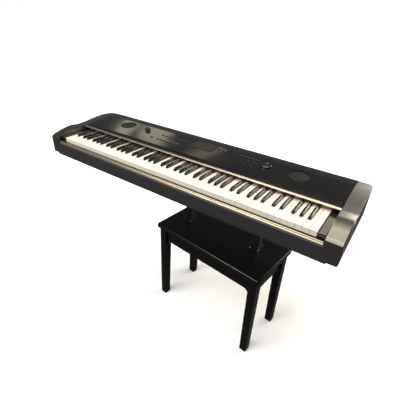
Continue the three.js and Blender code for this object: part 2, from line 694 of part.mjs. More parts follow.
function addCase(group) {
  group.add(piece('bottom_case', bottomCase(), 'blackSatin'));
  group.add(piece('key_slip', keySlip(), 'slipPaint'));
  group.add(piece('slip_ledge', slipLedge(), 'darkMetal'));
  for (const [side, sign] of [['left', -1], ['right', 1]]) {
    group.add(piece(`cheek_${side}`, cheek(sign), 'charcoal'));
    group.add(piece(`end_block_${side}`, endBlock(sign), 'blackGloss'));
  }
  group.add(piece('control_panel', controlPanel(), 'blackGloss'));
  group.add(piece('rear_panel', rearPanel(), 'blackSatin'));
  group.add(piece('felt_strip', feltStrip(), 'felt'));
  group.add(piece('key_frame', keyFrame(), 'steel'));
  group.add(piece('power_button', powerButton(), 'blackSatin'));
  group.add(piece('power_inlet', powerInlet(), 'blackSatin'));
}

// ---- stand --------------------------------------------------------------------------------

function standTop() {
  const width = STAND_WIDTH + 2 * TOP_OVERHANG;
  const depth = STAND_DEPTH + 2 * TOP_OVERHANG;
  const geometry = new THREE.ExtrudeGeometry(roundedRectangle(width, depth, TOP_CORNER), {
    depth: TOP_THICKNESS - 2 * TOP_EDGE, bevelThickness: TOP_EDGE, bevelSize: TOP_EDGE,
    bevelOffset: -TOP_EDGE, bevelSegments: 2, curveSegments: 3,
  });
  return geometry.translate(0, 0, STAND_HEIGHT - TOP_THICKNESS + TOP_EDGE);
}

// A square leg at the right rear whose two inner faces taper; the outer faces are upright.
function leg() {
  const taper = (outer) => polygon([
    [outer - LEG_FOOT, 0], [outer, 0], [outer, STAND_UNDER_TOP], [outer - LEG_TOP, STAND_UNDER_TOP],
    [outer - LEG_TOP, STAND_UNDER_TOP - APRON_DROP - BRACKET_RADIUS],
  ]);
  const [half, rear] = [STAND_WIDTH / 2, STAND_DEPTH / 2];
  const sideView = runAlongX(taper(rear), half - LEG_TOP, half);
  const frontView = runAlongY(taper(half), rear - LEG_TOP, rear);
  return common(sideView, frontView);
}

// An apron board with a quarter-round bracket at each end, between two legs that are span apart.
function apronOutline(span) {
  const half = span / 2 - TOUCH_GAP;
  const top = STAND_UNDER_TOP;
  const bottom = top - APRON_DROP;
  const r = BRACKET_RADIUS;
  const shape = new THREE.Shape();
  shape.moveTo(-half, bottom - r);
  shape.absarc(-half + r + BRACKET_FOOT, bottom - r, r, Math.PI, Math.PI / 2, true);
  shape.lineTo(half - r - BRACKET_FOOT, bottom);
  shape.absarc(half - r - BRACKET_FOOT, bottom - r, r, Math.PI / 2, 0, true);
  shape.lineTo(half, bottom - r);
  shape.lineTo(half, top);
  shape.lineTo(-half, top);
  return shape;
}

function addStand(root) {
  const stand = new THREE.Group();
  stand.position.set(STAND_X, STAND_Y, 0);
  stand.rotation.z = THREE.MathUtils.degToRad(STAND_TURN);
  stand.add(piece('stand_top', standTop(), 'lacquer'));
  const corner = leg();
  stand.add(piece('leg_rear_right', corner, 'lacquer'));
  stand.add(piece('leg_rear_left', mirrored(corner, 'x'), 'lacquer'));
  stand.add(piece('leg_front_right', mirrored(corner, 'y'), 'lacquer'));
  stand.add(piece('leg_front_left', mirrored(mirrored(corner, 'x'), 'y'), 'lacquer'));
  const inset = (LEG_TOP - APRON_THICKNESS) / 2;
  const long = apronOutline(STAND_WIDTH - 2 * LEG_TOP);
  const short = apronOutline(STAND_DEPTH - 2 * LEG_TOP);
  const rear = STAND_DEPTH / 2 - inset;
  const right = STAND_WIDTH / 2 - inset;
  stand.add(piece('apron_rear', runAlongY(long, rear - APRON_THICKNESS, rear), 'lacquer'));
  stand.add(piece('apron_front', runAlongY(long, -rear, -rear + APRON_THICKNESS), 'lacquer'));
  stand.add(piece('apron_right', runAlongX(short, right - APRON_THICKNESS, right, 6), 'lacquer'));
  stand.add(piece('apron_left', runAlongX(short, -right, -right + APRON_THICKNESS, 6), 'lacquer'));
  root.add(stand);
}

// Welded riser: base plate, square post and the arm that the piano lies on.
function riser() {
  const bottom = STAND_HEIGHT + TOUCH_GAP;
  const top = KEY_TOP_HEIGHT + CASE_BOTTOM - TOUCH_GAP;
  const half = POST_WIDTH / 2;
  const base = box(-BASE_SIZE[0] / 2, BASE_SIZE[0] / 2, -BASE_SIZE[1] / 2, BASE_SIZE[1] / 2, bottom,
    bottom + BASE_THICKNESS);
  const post = box(-half, half, -half, half, bottom + BASE_THICKNESS / 2, top - ARM_HEIGHT / 2);
  const arm = box(-ARM_WIDTH / 2, ARM_WIDTH / 2, -ARM_LENGTH / 2, ARM_LENGTH / 2, top - ARM_HEIGHT, top);
  return join(base, [post, arm]);
}

function addRiser(root) {
  ['left', 'right'].forEach((side, i) => {
    const mesh = piece(`riser_${side}`, riser(), 'blackSteel');
    mesh.position.set(STAND_X + RISER_XS[i], RISER_Y, 0);
    root.add(mesh);
  });
}

// ---- assembly -----------------------------------------------------------------------------

const root = new THREE.Group();
const piano = new THREE.Group();
piano.position.set(0, -(CASE_FRONT + CASE_BACK) / 2, KEY_TOP_HEIGHT);
addCase(piano);
addKeys(piano);
addControls(piano);
root.add(piano);
addStand(root);
addRiser(root);

export default root;
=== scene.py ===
"""Digital piano on a four-legged stand: the visible pieces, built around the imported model.

Every length is in metres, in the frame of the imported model: +X from bass to treble, +Y to the back,
+Z up from the floor. Pieces are surfaces worked out on whole arrays and ride on the model's bodies.
"""

import json
import math

import bmesh
import bpy
import numpy as np
from bpy.props import FloatProperty, FloatVectorProperty, IntProperty, PointerProperty
from mathutils import Matrix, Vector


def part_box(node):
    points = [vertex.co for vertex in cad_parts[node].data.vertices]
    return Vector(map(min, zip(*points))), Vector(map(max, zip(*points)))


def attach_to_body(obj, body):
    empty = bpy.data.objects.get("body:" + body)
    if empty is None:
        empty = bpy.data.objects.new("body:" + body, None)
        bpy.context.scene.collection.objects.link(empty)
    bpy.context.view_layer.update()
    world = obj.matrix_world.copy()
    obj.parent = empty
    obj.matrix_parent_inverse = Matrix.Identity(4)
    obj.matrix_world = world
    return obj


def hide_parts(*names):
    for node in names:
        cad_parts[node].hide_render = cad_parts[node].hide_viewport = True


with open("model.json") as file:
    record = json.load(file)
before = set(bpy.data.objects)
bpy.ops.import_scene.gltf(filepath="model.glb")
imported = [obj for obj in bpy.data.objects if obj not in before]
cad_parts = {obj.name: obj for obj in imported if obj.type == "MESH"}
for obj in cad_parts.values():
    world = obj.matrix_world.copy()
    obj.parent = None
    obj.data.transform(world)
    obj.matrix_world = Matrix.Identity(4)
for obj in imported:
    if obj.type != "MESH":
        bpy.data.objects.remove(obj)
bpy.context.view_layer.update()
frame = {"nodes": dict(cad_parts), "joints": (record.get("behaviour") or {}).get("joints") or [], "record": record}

bl_info = {
    "name": "Digital Piano On Stand",
    "version": (1, 0, 0),
    "blender": (4, 5, 0),
    "location": "View3D > Sidebar > Piano",
    "description": "Builds the visible pieces of a digital piano and its stand around a packed model",
    "category": "Object",
}

MM = 0.001

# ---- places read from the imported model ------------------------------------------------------

WHITE_COUNT = 52
KEY_COUNT = 88
FIRST_SEMITONE = 9              # the lowest key is an A
OCTAVE = 12
MIDDLE_OCTAVE = 4
NOTES = ["c", "c_sharp", "d", "d_sharp", "e", "f", "f_sharp", "g", "g_sharp", "a", "a_sharp", "b"]
BLACK_OFFSETS = {1: -2.75 * MM, 3: 2.75 * MM, 6: -4 * MM, 8: 0.0, 10: 4 * MM}
FIXED = "instrument"            # the body that doesn't move
X_AXIS, Y_AXIS, Z_AXIS = np.eye(3)


def low(node):
    """Lowest corner of a node's box."""
    return np.array(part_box(node)[0])


def high(node):
    """Highest corner of a node's box."""
    return np.array(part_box(node)[1])


def middle(node):
    """Centre of a node's box."""
    return (low(node) + high(node)) / 2


KEY_LOW = low("white_keys_bass")
KEY_HIGH = high("white_keys_treble")
KEY_GAP = low("key_d")[0] - high("key_c")[0]
PITCH = (KEY_HIGH[0] - KEY_LOW[0] + KEY_GAP) / WHITE_COUNT
KEY_FRONT = KEY_LOW[1]
KEY_TAIL = KEY_HIGH[1]
KEY_TOP = KEY_HIGH[2]
KEY_UNDER = KEY_LOW[2]
BLACK_FRONT = low("key_c_sharp")[1]
BLACK_UNDER = low("key_c_sharp")[2]
BLACK_TOP = high("key_c_sharp")[2]
BLACK_WIDTH = high("key_c_sharp")[0] - low("key_c_sharp")[0]
BLACK_CLEARANCE = 1.2 * MM      # from a black key to the white keys and teeth around it
PANEL_NOSE = low("control_panel")[1]
PRESS = np.array(next(j["axis"] for j in frame["joints"] if j["name"] == "tone_button_1_press"))
NORMAL = -PRESS / np.linalg.norm(PRESS)         # out of the panel's sloping face
UPHILL = np.array([0.0, NORMAL[2], -NORMAL[1]])  # up the panel's slope
KNOB_AXIS = np.array(next(j["pos_m"] for j in frame["joints"] if j["name"] == "volume_knob_turn"))
DIAL_AXIS = np.array(next(j["pos_m"] for j in frame["joints"] if j["name"] == "data_dial_turn"))


# ---- sizes and colours a maker would change ---------------------------------------------------

class PianoSizes(bpy.types.PropertyGroup):
    """Sizes that a maker would change"""

    edge: FloatProperty(name="Moulded edge", description="Rounding of moulded plastic edges",
                        default=0.0012, unit="LENGTH")
    key_edge: FloatProperty(name="Key edge", description="Rounding of the white key tops",
                            default=0.0011, unit="LENGTH")
    key_lip: FloatProperty(name="Key lip", description="How far a white key's top stands out over its front",
                           default=0.0009, unit="LENGTH")
    wood_edge: FloatProperty(name="Wood edge", description="Rounding of the stand's legs and aprons",
                             default=0.0018, unit="LENGTH")
    knurls: IntProperty(name="Knob ribs", description="Finger ribs around the volume knob", default=28)
    perforations: IntProperty(name="Grille cells", description="Cells around a loudspeaker grille",
                              default=144)
    edge_steps: IntProperty(name="Edge steps", description="Facets across a rounded edge", default=4)


class PianoColours(bpy.types.PropertyGroup):
    """Colours that a maker would change"""

    ivory: FloatVectorProperty(name="White keys", description="Colour of the white keys", subtype="COLOR",
                               default=(0.82, 0.775, 0.66))
    ebony: FloatVectorProperty(name="Black keys", description="Colour of the black keys", subtype="COLOR",
                               default=(0.010, 0.010, 0.011))
    panel: FloatVectorProperty(name="Panel", description="Colour of the control panel", subtype="COLOR",
                               default=(0.006, 0.006, 0.0055))
    slip: FloatVectorProperty(name="Key slip", description="Colour of the board below the keys",
                              subtype="COLOR", default=(0.028, 0.028, 0.031))
    charcoal: FloatVectorProperty(name="Cheeks", description="Colour of the cheeks", subtype="COLOR",
                                  default=(0.024, 0.0235, 0.023))
    # Painted sheen: this brown pearl colour stands in for a warm reflection on the arm rests and end blocks.
    armrest_painted_sheen: FloatVectorProperty(name="Arm rests", description="Colour of the arm rests and end blocks",
                                 subtype="COLOR", default=(0.135, 0.128, 0.114))
    trim: FloatVectorProperty(name="Trim", description="Colour of the metal trim", subtype="COLOR",
                              default=(0.50, 0.43, 0.33))
    felt: FloatVectorProperty(name="Felt", description="Colour of the felt behind the keys", subtype="COLOR",
                              default=(0.55, 0.020, 0.022))
    lacquer: FloatVectorProperty(name="Stand", description="Colour of the lacquered wood", subtype="COLOR",
                                 default=(0.0035, 0.0035, 0.0032))
    floor: FloatVectorProperty(name="Floor", description="Colour of the studio floor", subtype="COLOR",
                               default=(0.90, 0.90, 0.90))


def sizes():
    return bpy.context.scene.piano_sizes


def colours():
    return bpy.context.scene.piano_colours


# ---- shader helpers ---------------------------------------------------------------------------

class Value:
    """A number socket that can be used in expressions; each operator adds its Math node."""

    def __init__(self, material, socket):
        self.material = material
        self.socket = socket

    def combine(self, operation, first, second):
        node = self.material.node("ShaderNodeMath", {"operation": operation}, {0: first, 1: second})
        return Value(self.material, node.outputs[0])

    def __add__(self, other):
        return self.combine("ADD", self, other)

    def __radd__(self, other):
        return self.combine("ADD", other, self)

    def __sub__(self, other):
        return self.combine("SUBTRACT", self, other)

    def __rsub__(self, other):
        return self.combine("SUBTRACT", other, self)

    def __mul__(self, other):
        return self.combine("MULTIPLY", self, other)

    def __rmul__(self, other):
        return self.combine("MULTIPLY", other, self)


class Finish:
    """A material under construction: one principled shader, fed by nodes made with node()."""

    def __init__(self, name, colour, roughness, metallic=0.0, **fixed):
        self.material = bpy.data.materials.new(name)
        self.material.use_nodes = True
        self.tree = self.material.node_tree
        self.shader = self.tree.nodes["Principled BSDF"]
        self.colour = (*colour, 1.0)
        self.feed("Base Color", self.colour)
        self.feed("Roughness", roughness)
        self.feed("Metallic", metallic)
        for socket, value in fixed.items():
            self.feed(socket.replace("_", " "), value)
        self.place = self.node("ShaderNodeTexCoord").outputs["Object"]

    def node(self, kind, settings=None, sockets=None):
        """Any node: its settings are set first, then the values or links of its sockets."""
        made = self.tree.nodes.new(kind)
        for key, value in (settings or {}).items():
            setattr(made, key, value)
        for key, value in (sockets or {}).items():
            self.connect(made.inputs[key], value)
        return made

    def connect(self, socket, value):
        """Links a value to a socket, or sets the socket to a plain number or colour."""
        if isinstance(value, Value):
            value = value.socket
        if isinstance(value, bpy.types.NodeSocket):
            self.tree.links.new(value, socket)
        else:
            socket.default_value = value

    def feed(self, socket, value):
        """Connects a value to one of the shader's own sockets."""
        self.connect(self.shader.inputs[socket], value)

    def stretched(self, scale, centre=(0.0, 0.0, 0.0)):
        """Object coordinates about a centre, with each axis multiplied by its scale."""
        moved = self.node("ShaderNodeVectorMath", {"operation": "SUBTRACT"},
                          {0: self.place, 1: tuple(centre)})
        scaled = self.node("ShaderNodeVectorMath", {"operation": "MULTIPLY"},
                           {0: moved.outputs[0], 1: tuple(scale)})
        return scaled.outputs[0]

    def along(self, axis):
        """One object coordinate as a number."""
        parts = self.node("ShaderNodeSeparateXYZ", {}, {"Vector": self.place})
        return Value(self, parts.outputs[axis])

    def noise(self, vector, detail=3.0, roughness=0.55):
        """Soft random clouding, from 0 to 1."""
        made = self.node("ShaderNodeTexNoise", {}, {"Vector": vector, "Scale": 1.0, "Detail": detail,
                                                    "Roughness": roughness})
        return Value(self, made.outputs["Fac"])

    def cells(self, vector):
        """Distance to the nearest of a field of scattered points."""
        made = self.node("ShaderNodeTexVoronoi", {}, {"Vector": vector, "Scale": 1.0})
        return Value(self, made.outputs["Distance"])

    def steps(self, value, stops):
        """A grey ramp: stops are (place, brightness) pairs."""
        made = self.node("ShaderNodeValToRGB", {}, {"Fac": value})
        ramp = made.color_ramp
        ramp.elements[0].position, ramp.elements[-1].position = stops[0][0], stops[-1][0]
        for place, _ in stops[1:-1]:
            ramp.elements.new(place)
        for element, (_, grey) in zip(ramp.elements, stops):
            element.color = (grey, grey, grey, 1.0)
        return Value(self, made.outputs["Color"])

    def blend(self, factor, first, second):
        """Colour between two others."""
        made = self.node("ShaderNodeMix", {"data_type": "RGBA"}, {0: factor, 6: first, 7: second})
        return made.outputs[2]

    def tone(self, amount, factor):
        """The finish's colour, darker to lighter by amount as factor goes from 0 to 1."""
        dark = tuple(c * (1 - amount) for c in self.colour[:3]) + (1.0,)
        light = tuple(min(1.0, c * (1 + amount)) for c in self.colour[:3]) + (1.0,)
        return self.blend(factor, dark, light)

    def shade(self, amount, factor):
        """The base colour as a tone."""
        self.feed("Base Color", self.tone(amount, factor))

    def relief(self, height, depth, strength=1.0):
        """Fine bumps of a given depth in metres."""
        bump = self.node("ShaderNodeBump", {}, {"Height": height, "Distance": depth, "Strength": strength})
        self.feed("Normal", bump.outputs[0])


_made = {}


def finish(name):
    """The named finish, made once."""
    if name not in _made:
        _made[name] = FINISHES[name]().material
    return _made[name]


def panel_gloss():
    """Gloss black panel: a deep coat with faint wiping marks and a little dust."""
    m = Finish("panel_gloss", colours().panel, 0.1, Specular_IOR_Level=0.5)
    wiped = m.noise(m.stretched((9, 16, 16)), 4)
    dust = m.steps(m.noise(m.stretched((1100, 1100, 1100)), 2), [(0.66, 0), (0.74, 1)])
    m.shade(0.4, wiped)
    m.feed("Roughness", 0.07 + wiped * 0.08 + dust * 0.15)
    m.relief(m.noise(m.stretched((120, 120, 120)), 2) + dust * 0.4, 0.00002, 0.35)
    return m


def moulded(name, colour, roughness, grain=1400.0, depth=0.00007):
    """Moulded plastic with a fine spark-eroded grain and faint handling marks."""
    m = Finish(name, colour, roughness, Specular_IOR_Level=0.45)
    grit = m.cells(m.stretched((grain, grain, grain)))
    wear = m.noise(m.stretched((16, 22, 22)), 5)
    m.shade(0.25, wear)
    m.feed("Roughness", roughness - 0.07 + wear * 0.14 + grit * 0.05)
    m.relief(grit + m.noise(m.stretched((grain * 0.6, grain * 0.6, grain * 0.6)), 3) * 0.6, depth, 0.6)
    return m


def slip_satin():
    """Satin black of the board below the keys."""
    return moulded("slip_satin", colours().slip, 0.42, 1100.0, 0.00005)


def case_satin():
    """Satin black of the case's floor plate, rear wall and inlet."""
    return moulded("case_satin", (0.022, 0.022, 0.024), 0.5)


def button_black():
    """Fine-grained black of the buttons."""
    return moulded("button_black", (0.020, 0.020, 0.021), 0.38, 2600.0, 0.00003)


def knob_black():
    """Fine-grained black of the volume knob."""
    return moulded("knob_black", (0.014, 0.014, 0.015), 0.3, 2200.0, 0.00003)


def block_gloss():
    """Polished end block with a soft haze; its brownish pearl colour is a painted sheen standing in for a warm
    reflection.
    """
    m = Finish("block_gloss", colours().armrest_painted_sheen, 0.14, 0.9)
    haze = m.noise(m.stretched((40, 40, 40)), 4)
    m.shade(0.2, haze)
    m.feed("Roughness", 0.13 + haze * 0.08)
    m.relief(m.noise(m.stretched((500, 500, 500)), 2), 0.00001, 0.3)
    return m


def fascia_bronze():
    """Polished bronze-brown strip that picks up the keys in front of it."""
    m = Finish("fascia_bronze", (0.30, 0.235, 0.165), 0.2, 0.85)
    drift = m.noise(m.stretched((60, 200, 200)), 4)
    m.shade(0.2, drift)
    m.feed("Roughness", 0.14 + drift * 0.12)
    return m


def display_frame():
    """Matt black rim around the display."""
    m = Finish("display_frame", (0.006, 0.006, 0.006), 0.3)
    grit = m.noise(m.stretched((900, 900, 900)), 3)
    m.shade(0.3, grit)
    m.feed("Roughness", 0.25 + grit * 0.15)
    return m


def cheek_satin():
    """Brown pearl on the arm rests in front of the panel, a painted sheen standing in for a warm reflection,
    and plain satin charcoal beside it, with a fine flake and soft hazy marks."""
    m = Finish("cheek_satin", colours().armrest_painted_sheen, 0.22, 0.9)
    stretch, shift, seam = 8.0, 0.5, 1 * MM
    # Mask: 0 on the arm rests in front of the panel, where the painted sheen goes, 1 beside the panel.
    beside = m.steps(m.along("Y") * stretch + shift,
                     [(shift + stretch * (PANEL_NOSE - seam), 0), (shift + stretch * PANEL_NOSE, 1)])
    flake = m.cells(m.stretched((2400, 2400, 2400)))
    haze = m.noise(m.stretched((14, 9, 14)), 4)
    # Painted sheen: brown pearl, varied by the flake and haze, standing in for a warm reflection.
    painted_sheen = m.tone(0.25, flake * 0.4 + haze * 0.6)
    m.feed("Base Color", m.blend(beside, painted_sheen, (*colours().charcoal, 1.0)))
    m.feed("Metallic", 0.9 - beside * 0.9)
    m.feed("Roughness", 0.18 + haze * 0.08 + beside * 0.22)
    m.relief(m.noise(m.stretched((300, 300, 300)), 2), 0.00002, 0.3)
    return m


def trim_metal():
    """Satin anodised strip, brushed along its length."""
    m = Finish("trim_metal", colours().trim, 0.25, 0.95)
    brushed = m.noise(m.stretched((25, 2400, 2400)), 2)
    cloud = m.noise(m.stretched((7, 60, 60)), 2)
    m.shade(0.1, brushed * 0.6 + cloud * 0.4)
    m.feed("Roughness", 0.28 + brushed * 0.08)
    return m


def key_white():
    """Ivory-coloured key covering: faint clouding, a fine grain along the key and slightly worn tops."""
    m = Finish("key_white", colours().ivory, 0.26, Specular_IOR_Level=0.5, Coat_Weight=0.25,
               Coat_Roughness=0.15, Subsurface_Weight=0.05, Subsurface_Scale=0.002)
    cloud = m.noise(m.stretched((28, 18, 28)), 4)
    grain = m.noise(m.stretched((1500, 90, 1500)), 2)
    m.shade(0.045, cloud * 0.6 + grain * 0.4)
    m.feed("Roughness", 0.2 + cloud * 0.12 + grain * 0.05)
    m.relief(grain, 0.00002, 0.35)
    return m


def key_black():
    """Dark key covering with an ebony-like grain along the key under a polished top."""
    m = Finish("key_black", colours().ebony, 0.12, Coat_Weight=0.6, Coat_Roughness=0.06)
    grain = m.noise(m.stretched((900, 45, 900)), 3)
    wear = m.noise(m.stretched((60, 30, 60)), 3)
    m.shade(0.5, grain)
    m.feed("Roughness", 0.1 + grain * 0.06 + wear * 0.05)
    m.relief(grain, 0.000008, 0.3)
    return m


def red_felt():
    """Pressed wool: short fibres over soft clumps."""
    m = Finish("red_felt", colours().felt, 0.95, Sheen_Weight=0.6, Sheen_Roughness=0.5)
    fibre = m.noise(m.stretched((900, 2600, 1800)), 6, 0.7)
    clump = m.noise(m.stretched((160, 160, 160)), 3)
    m.shade(0.45, fibre * 0.6 + clump * 0.4)
    m.relief(fibre + clump * 0.5, 0.0006, 0.8)
    return m


def display_glass():
    """Unlit liquid crystal panel: an olive film with a fine dot matrix, under smooth glass."""
    m = Finish("display_glass", (0.016, 0.017, 0.012), 0.3, Specular_IOR_Level=0.3)
    dots = m.cells(m.stretched((1300, 1300, 0)))
    mask = m.steps(dots, [(0.30, 1), (0.46, 0)])
    m.feed("Base Color", m.blend(mask * 0.35, m.colour, (0.030, 0.032, 0.022, 1.0)))
    m.feed("Roughness", 0.22 + m.noise(m.stretched((30, 30, 30)), 3) * 0.12)
    m.relief(dots, 0.00001, 0.3)
    return m


def dial_chrome():
    """Spun metal: fine rings about the dial's own axis."""
    m = Finish("dial_chrome", (0.13, 0.13, 0.125), 0.2, 1.0)
    rings = m.node("ShaderNodeTexWave", {"wave_type": "RINGS", "rings_direction": "SPHERICAL"},
                   {"Vector": m.stretched((1, 1, 1), DIAL_AXIS), "Scale": 700.0, "Distortion": 0.4})
    ring = Value(m, rings.outputs["Fac"])
    mark = m.noise(m.stretched((90, 90, 90)), 4)
    m.shade(0.18, ring * 0.5 + mark * 0.5)
    m.feed("Roughness", 0.12 + ring * 0.1 + mark * 0.08)
    m.relief(ring, 0.00002, 0.4)
    return m


def grille_metal():
    """Coated steel sheet of the grilles."""
    m = Finish("grille_metal", (0.018, 0.018, 0.019), 0.42, 0.6)
    coat = m.noise(m.stretched((1700, 1700, 1700)), 3)
    m.shade(0.4, m.noise(m.stretched((60, 60, 60)), 3))
    m.feed("Roughness", 0.34 + coat * 0.2)
    m.relief(coat, 0.00005, 0.5)
    return m


def driver_black():
    """Pressed paper cone and basket: fibres with a matt coating."""
    m = Finish("driver_black", (0.022, 0.022, 0.023), 0.8)
    fibre = m.noise(m.stretched((700, 700, 700)), 6, 0.7)
    m.shade(0.5, fibre)
    m.feed("Roughness", 0.7 + fibre * 0.2)
    m.relief(fibre, 0.0002, 0.6)
    return m


def board_green():
    """Circuit board: solder mask over a grid of copper tracks."""
    m = Finish("board_green", (0.012, 0.085, 0.035), 0.35, Coat_Weight=0.4)
    brick = m.node("ShaderNodeTexBrick", {"offset": 0.37},
                   {"Vector": m.stretched((240, 240, 240)), "Scale": 1.0, "Mortar Size": 0.06})
    track = Value(m, brick.outputs["Fac"])
    m.feed("Base Color", m.blend(track, m.colour, (0.05, 0.22, 0.09, 1.0)))
    m.feed("Roughness", 0.3 + track * 0.15)
    m.relief(track, 0.00004, 0.6)
    return m


def frame_steel():
    """Rolled and galvanised sheet: long rolling marks over a pale spangle."""
    m = Finish("frame_steel", (0.46, 0.46, 0.47), 0.38, 1.0)
    rolled = m.noise(m.stretched((30, 1400, 1400)), 3)
    spangle = m.cells(m.stretched((90, 90, 90)))
    m.shade(0.2, rolled * 0.5 + spangle * 0.5)
    m.feed("Roughness", 0.3 + rolled * 0.12 + spangle * 0.12)
    m.relief(rolled, 0.00004, 0.4)
    return m


def black_lacquer():
    """Black lacquer over wood: open grain shows as long shallow pores under a smooth top coat."""
    m = Finish("black_lacquer", colours().lacquer, 0.25, Specular_IOR_Level=0.2)
    pores = m.noise(m.stretched((26, 620, 620)), 5, 0.65)
    cloud = m.noise(m.stretched((6, 11, 11)), 3)
    fine = m.noise(m.stretched((420, 420, 420)), 2)
    m.shade(0.45, pores * 0.6 + cloud * 0.4)
    m.feed("Roughness", 0.16 + cloud * 0.12 + pores * 0.1)
    m.relief(m.steps(pores, [(0.35, 0), (0.55, 1)]) + fine * 0.25, 0.00007, 0.45)
    return m


def riser_paint():
    """Powder coating: a fine orange-peel texture."""
    m = Finish("riser_paint", (0.008, 0.008, 0.008), 0.4, Specular_IOR_Level=0.4)
    peel = m.noise(m.stretched((750, 750, 750)), 2)
    wear = m.noise(m.stretched((30, 30, 30)), 4)
    m.shade(0.3, wear)
    m.feed("Roughness", 0.34 + peel * 0.16 + wear * 0.08)
    m.relief(peel, 0.00012, 0.6)
    return m


def marking_grey():
    """Screen-printed line: slightly uneven grey ink."""
    m = Finish("marking_grey", (0.32, 0.31, 0.28), 0.55)
    ink = m.noise(m.stretched((1800, 1800, 1800)), 3)
    m.shade(0.25, ink)
    m.feed("Roughness", 0.45 + ink * 0.2)
    return m


def lamp_red():
    """Small unlit indicator: tinted plastic with a frosted top."""
    m = Finish("lamp_red", (0.20, 0.012, 0.010), 0.3, Coat_Weight=0.4)
    frost = m.noise(m.stretched((2600, 2600, 2600)), 3)
    m.shade(0.4, frost)
    m.feed("Roughness", 0.22 + frost * 0.2)
    return m


def socket_steel():
    """Bright zinc-plated steel with small handling marks."""
    m = Finish("socket_steel", (0.50, 0.50, 0.51), 0.3, 1.0)
    mark = m.noise(m.stretched((500, 500, 500)), 4)
    m.shade(0.25, mark)
    m.feed("Roughness", 0.22 + mark * 0.2)
    m.relief(mark, 0.00003, 0.4)
    return m


def floor_paper():
    """Matt studio paper with very faint clouding, lit from behind further away from the middle."""
    m = Finish("floor_paper", colours().floor, 0.9, Specular_IOR_Level=0.1, Emission_Strength=1.0)
    m.shade(0.01, m.noise(m.stretched((2, 2, 2)), 3))
    from_middle = m.stretched((1, 1, 1), (0.15, -0.1, 0.0))
    away = m.node("ShaderNodeVectorMath", {"operation": "LENGTH"}, {0: from_middle})
    glow = m.steps(Value(m, away.outputs["Value"]) * 0.2, [(0.06, 0.10), (0.5, 0.8)])
    m.feed("Emission Color", glow.socket)
    return m


FINISHES = {f.__name__: f for f in (
    panel_gloss, slip_satin, case_satin, button_black, knob_black, block_gloss, cheek_satin, trim_metal,
    key_white, key_black, red_felt, fascia_bronze, display_frame, display_glass, dial_chrome, grille_metal,
    driver_black, board_green, frame_steel, black_lacquer, riser_paint, marking_grey, lamp_red,
    socket_steel, floor_paper)}


# ---- surface helpers --------------------------------------------------------------------------

def new_piece(name, points, faces, finish_name, sharp=35.0):
    """A mesh at the origin, smooth except over edges sharper than the angle given in degrees."""
    mesh = bpy.data.meshes.new(name)
    mesh.from_pydata(points.tolist(), [], [tuple(f) for f in faces])
    mesh.polygons.foreach_set("use_smooth", [True] * len(mesh.polygons))
    mesh.set_sharp_from_angle(angle=math.radians(sharp))
    mesh.materials.append(finish(finish_name))
    mesh.update()
    piece = bpy.data.objects.new(name, mesh)
    bpy.context.scene.collection.objects.link(piece)
    return piece


def attach(piece, body, slot, *nodes):
    """The piece rides on a body and stands for the CAD nodes, which are hidden; the slot is not used."""
    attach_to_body(piece, body)
    if nodes:
        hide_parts(*nodes)
    return piece


def add(name, shape, finish_name, body, slot, *nodes):
    """A new piece from its (points, faces), attached to its body."""
    return attach(new_piece(name, *shape, finish_name), body, slot, *nodes)


def ring_quads(i, j, around, count):
    """Faces between ring i and the next of count rings, at place j of the around points of a ring."""
    k, n = (j + 1) % around, (i + 1) % count
    return np.stack([i * around + j, i * around + k, n * around + k, n * around + j], -1)


def loft(rings):
    """Skin over a stack of closed rings, an (n, m, 3) array: ring i joins ring i + 1 by quads, and the first
    and last ring are closed by one face each. Rings run anticlockwise seen from the last ring's side."""
    count, around = rings.shape[:2]
    i, j = np.meshgrid(np.arange(count - 1), np.arange(around), indexing="ij")
    faces = [list(q) for q in ring_quads(i, j, around, count).reshape(-1, 4)]
    faces.append(list(range(around))[::-1])
    faces.append([(count - 1) * around + s for s in range(around)])
    return rings.reshape(-1, 3), faces


def merge(parts):
    """Several (points, faces) pairs as one pair."""
    points, faces, start = [], [], 0
    for some_points, some_faces in parts:
        points.append(some_points)
        faces += [[start + v for v in face] for face in some_faces]
        start += len(some_points)
    return np.concatenate(points), faces


def inset(outline, distance):
    """A closed outline, an (n, 2) array run anticlockwise, moved inwards: each corner slides along its
    mitre."""
    before, after = np.roll(outline, 1, 0), np.roll(outline, -1, 0)
    first = (outline - before) / np.linalg.norm(outline - before, axis=1, keepdims=True)
    second = (after - outline) / np.linalg.norm(after - outline, axis=1, keepdims=True)
    n1 = np.stack([-first[:, 1], first[:, 0]], 1)
    n2 = np.stack([-second[:, 1], second[:, 0]], 1)
    mitre = (n1 + n2) / (1 + (n1 * n2).sum(1, keepdims=True))
    return outline + mitre * distance


def rounded_rectangle(width, height, radius, steps=5):
    """Rectangle about the origin whose corners are quarter circles."""
    turns = np.linspace(0, math.pi / 2, steps)
    corners = [(1, 1, 0), (-1, 1, 1), (-1, -1, 2), (1, -1, 3)]
    points = []
    for sx, sy, quarter in corners:
        angle = turns + quarter * math.pi / 2
        centre = np.array([sx * (width / 2 - radius), sy * (height / 2 - radius)])
        points.append(centre + radius * np.stack([np.cos(angle), np.sin(angle)], 1))
    return np.concatenate(points)


def edge_profile(radius, steps):
    """(inset, drop) pairs over a quarter-round edge, from the side up to the top face."""
    angle = np.linspace(0, math.pi / 2, steps + 1)
    return np.stack([radius * (1 - np.cos(angle)), radius * (1 - np.sin(angle))], 1)


def slab(outline, bottom, top, top_radius, bottom_radius=0.0, steps=4):
    """Plate over a plan outline with a quarter-round upper edge and, if asked, a quarter-round lower edge."""
    levels = []
    if bottom_radius:
        levels += [(a, bottom + b) for a, b in edge_profile(bottom_radius, steps)[::-1]]
    else:
        levels.append((0.0, bottom))
    levels += [(a, top - b) for a, b in edge_profile(top_radius, steps)]
    rings = [np.column_stack([inset(outline, a), np.full(len(outline), z)]) for a, z in levels]
    return loft(np.array(rings))


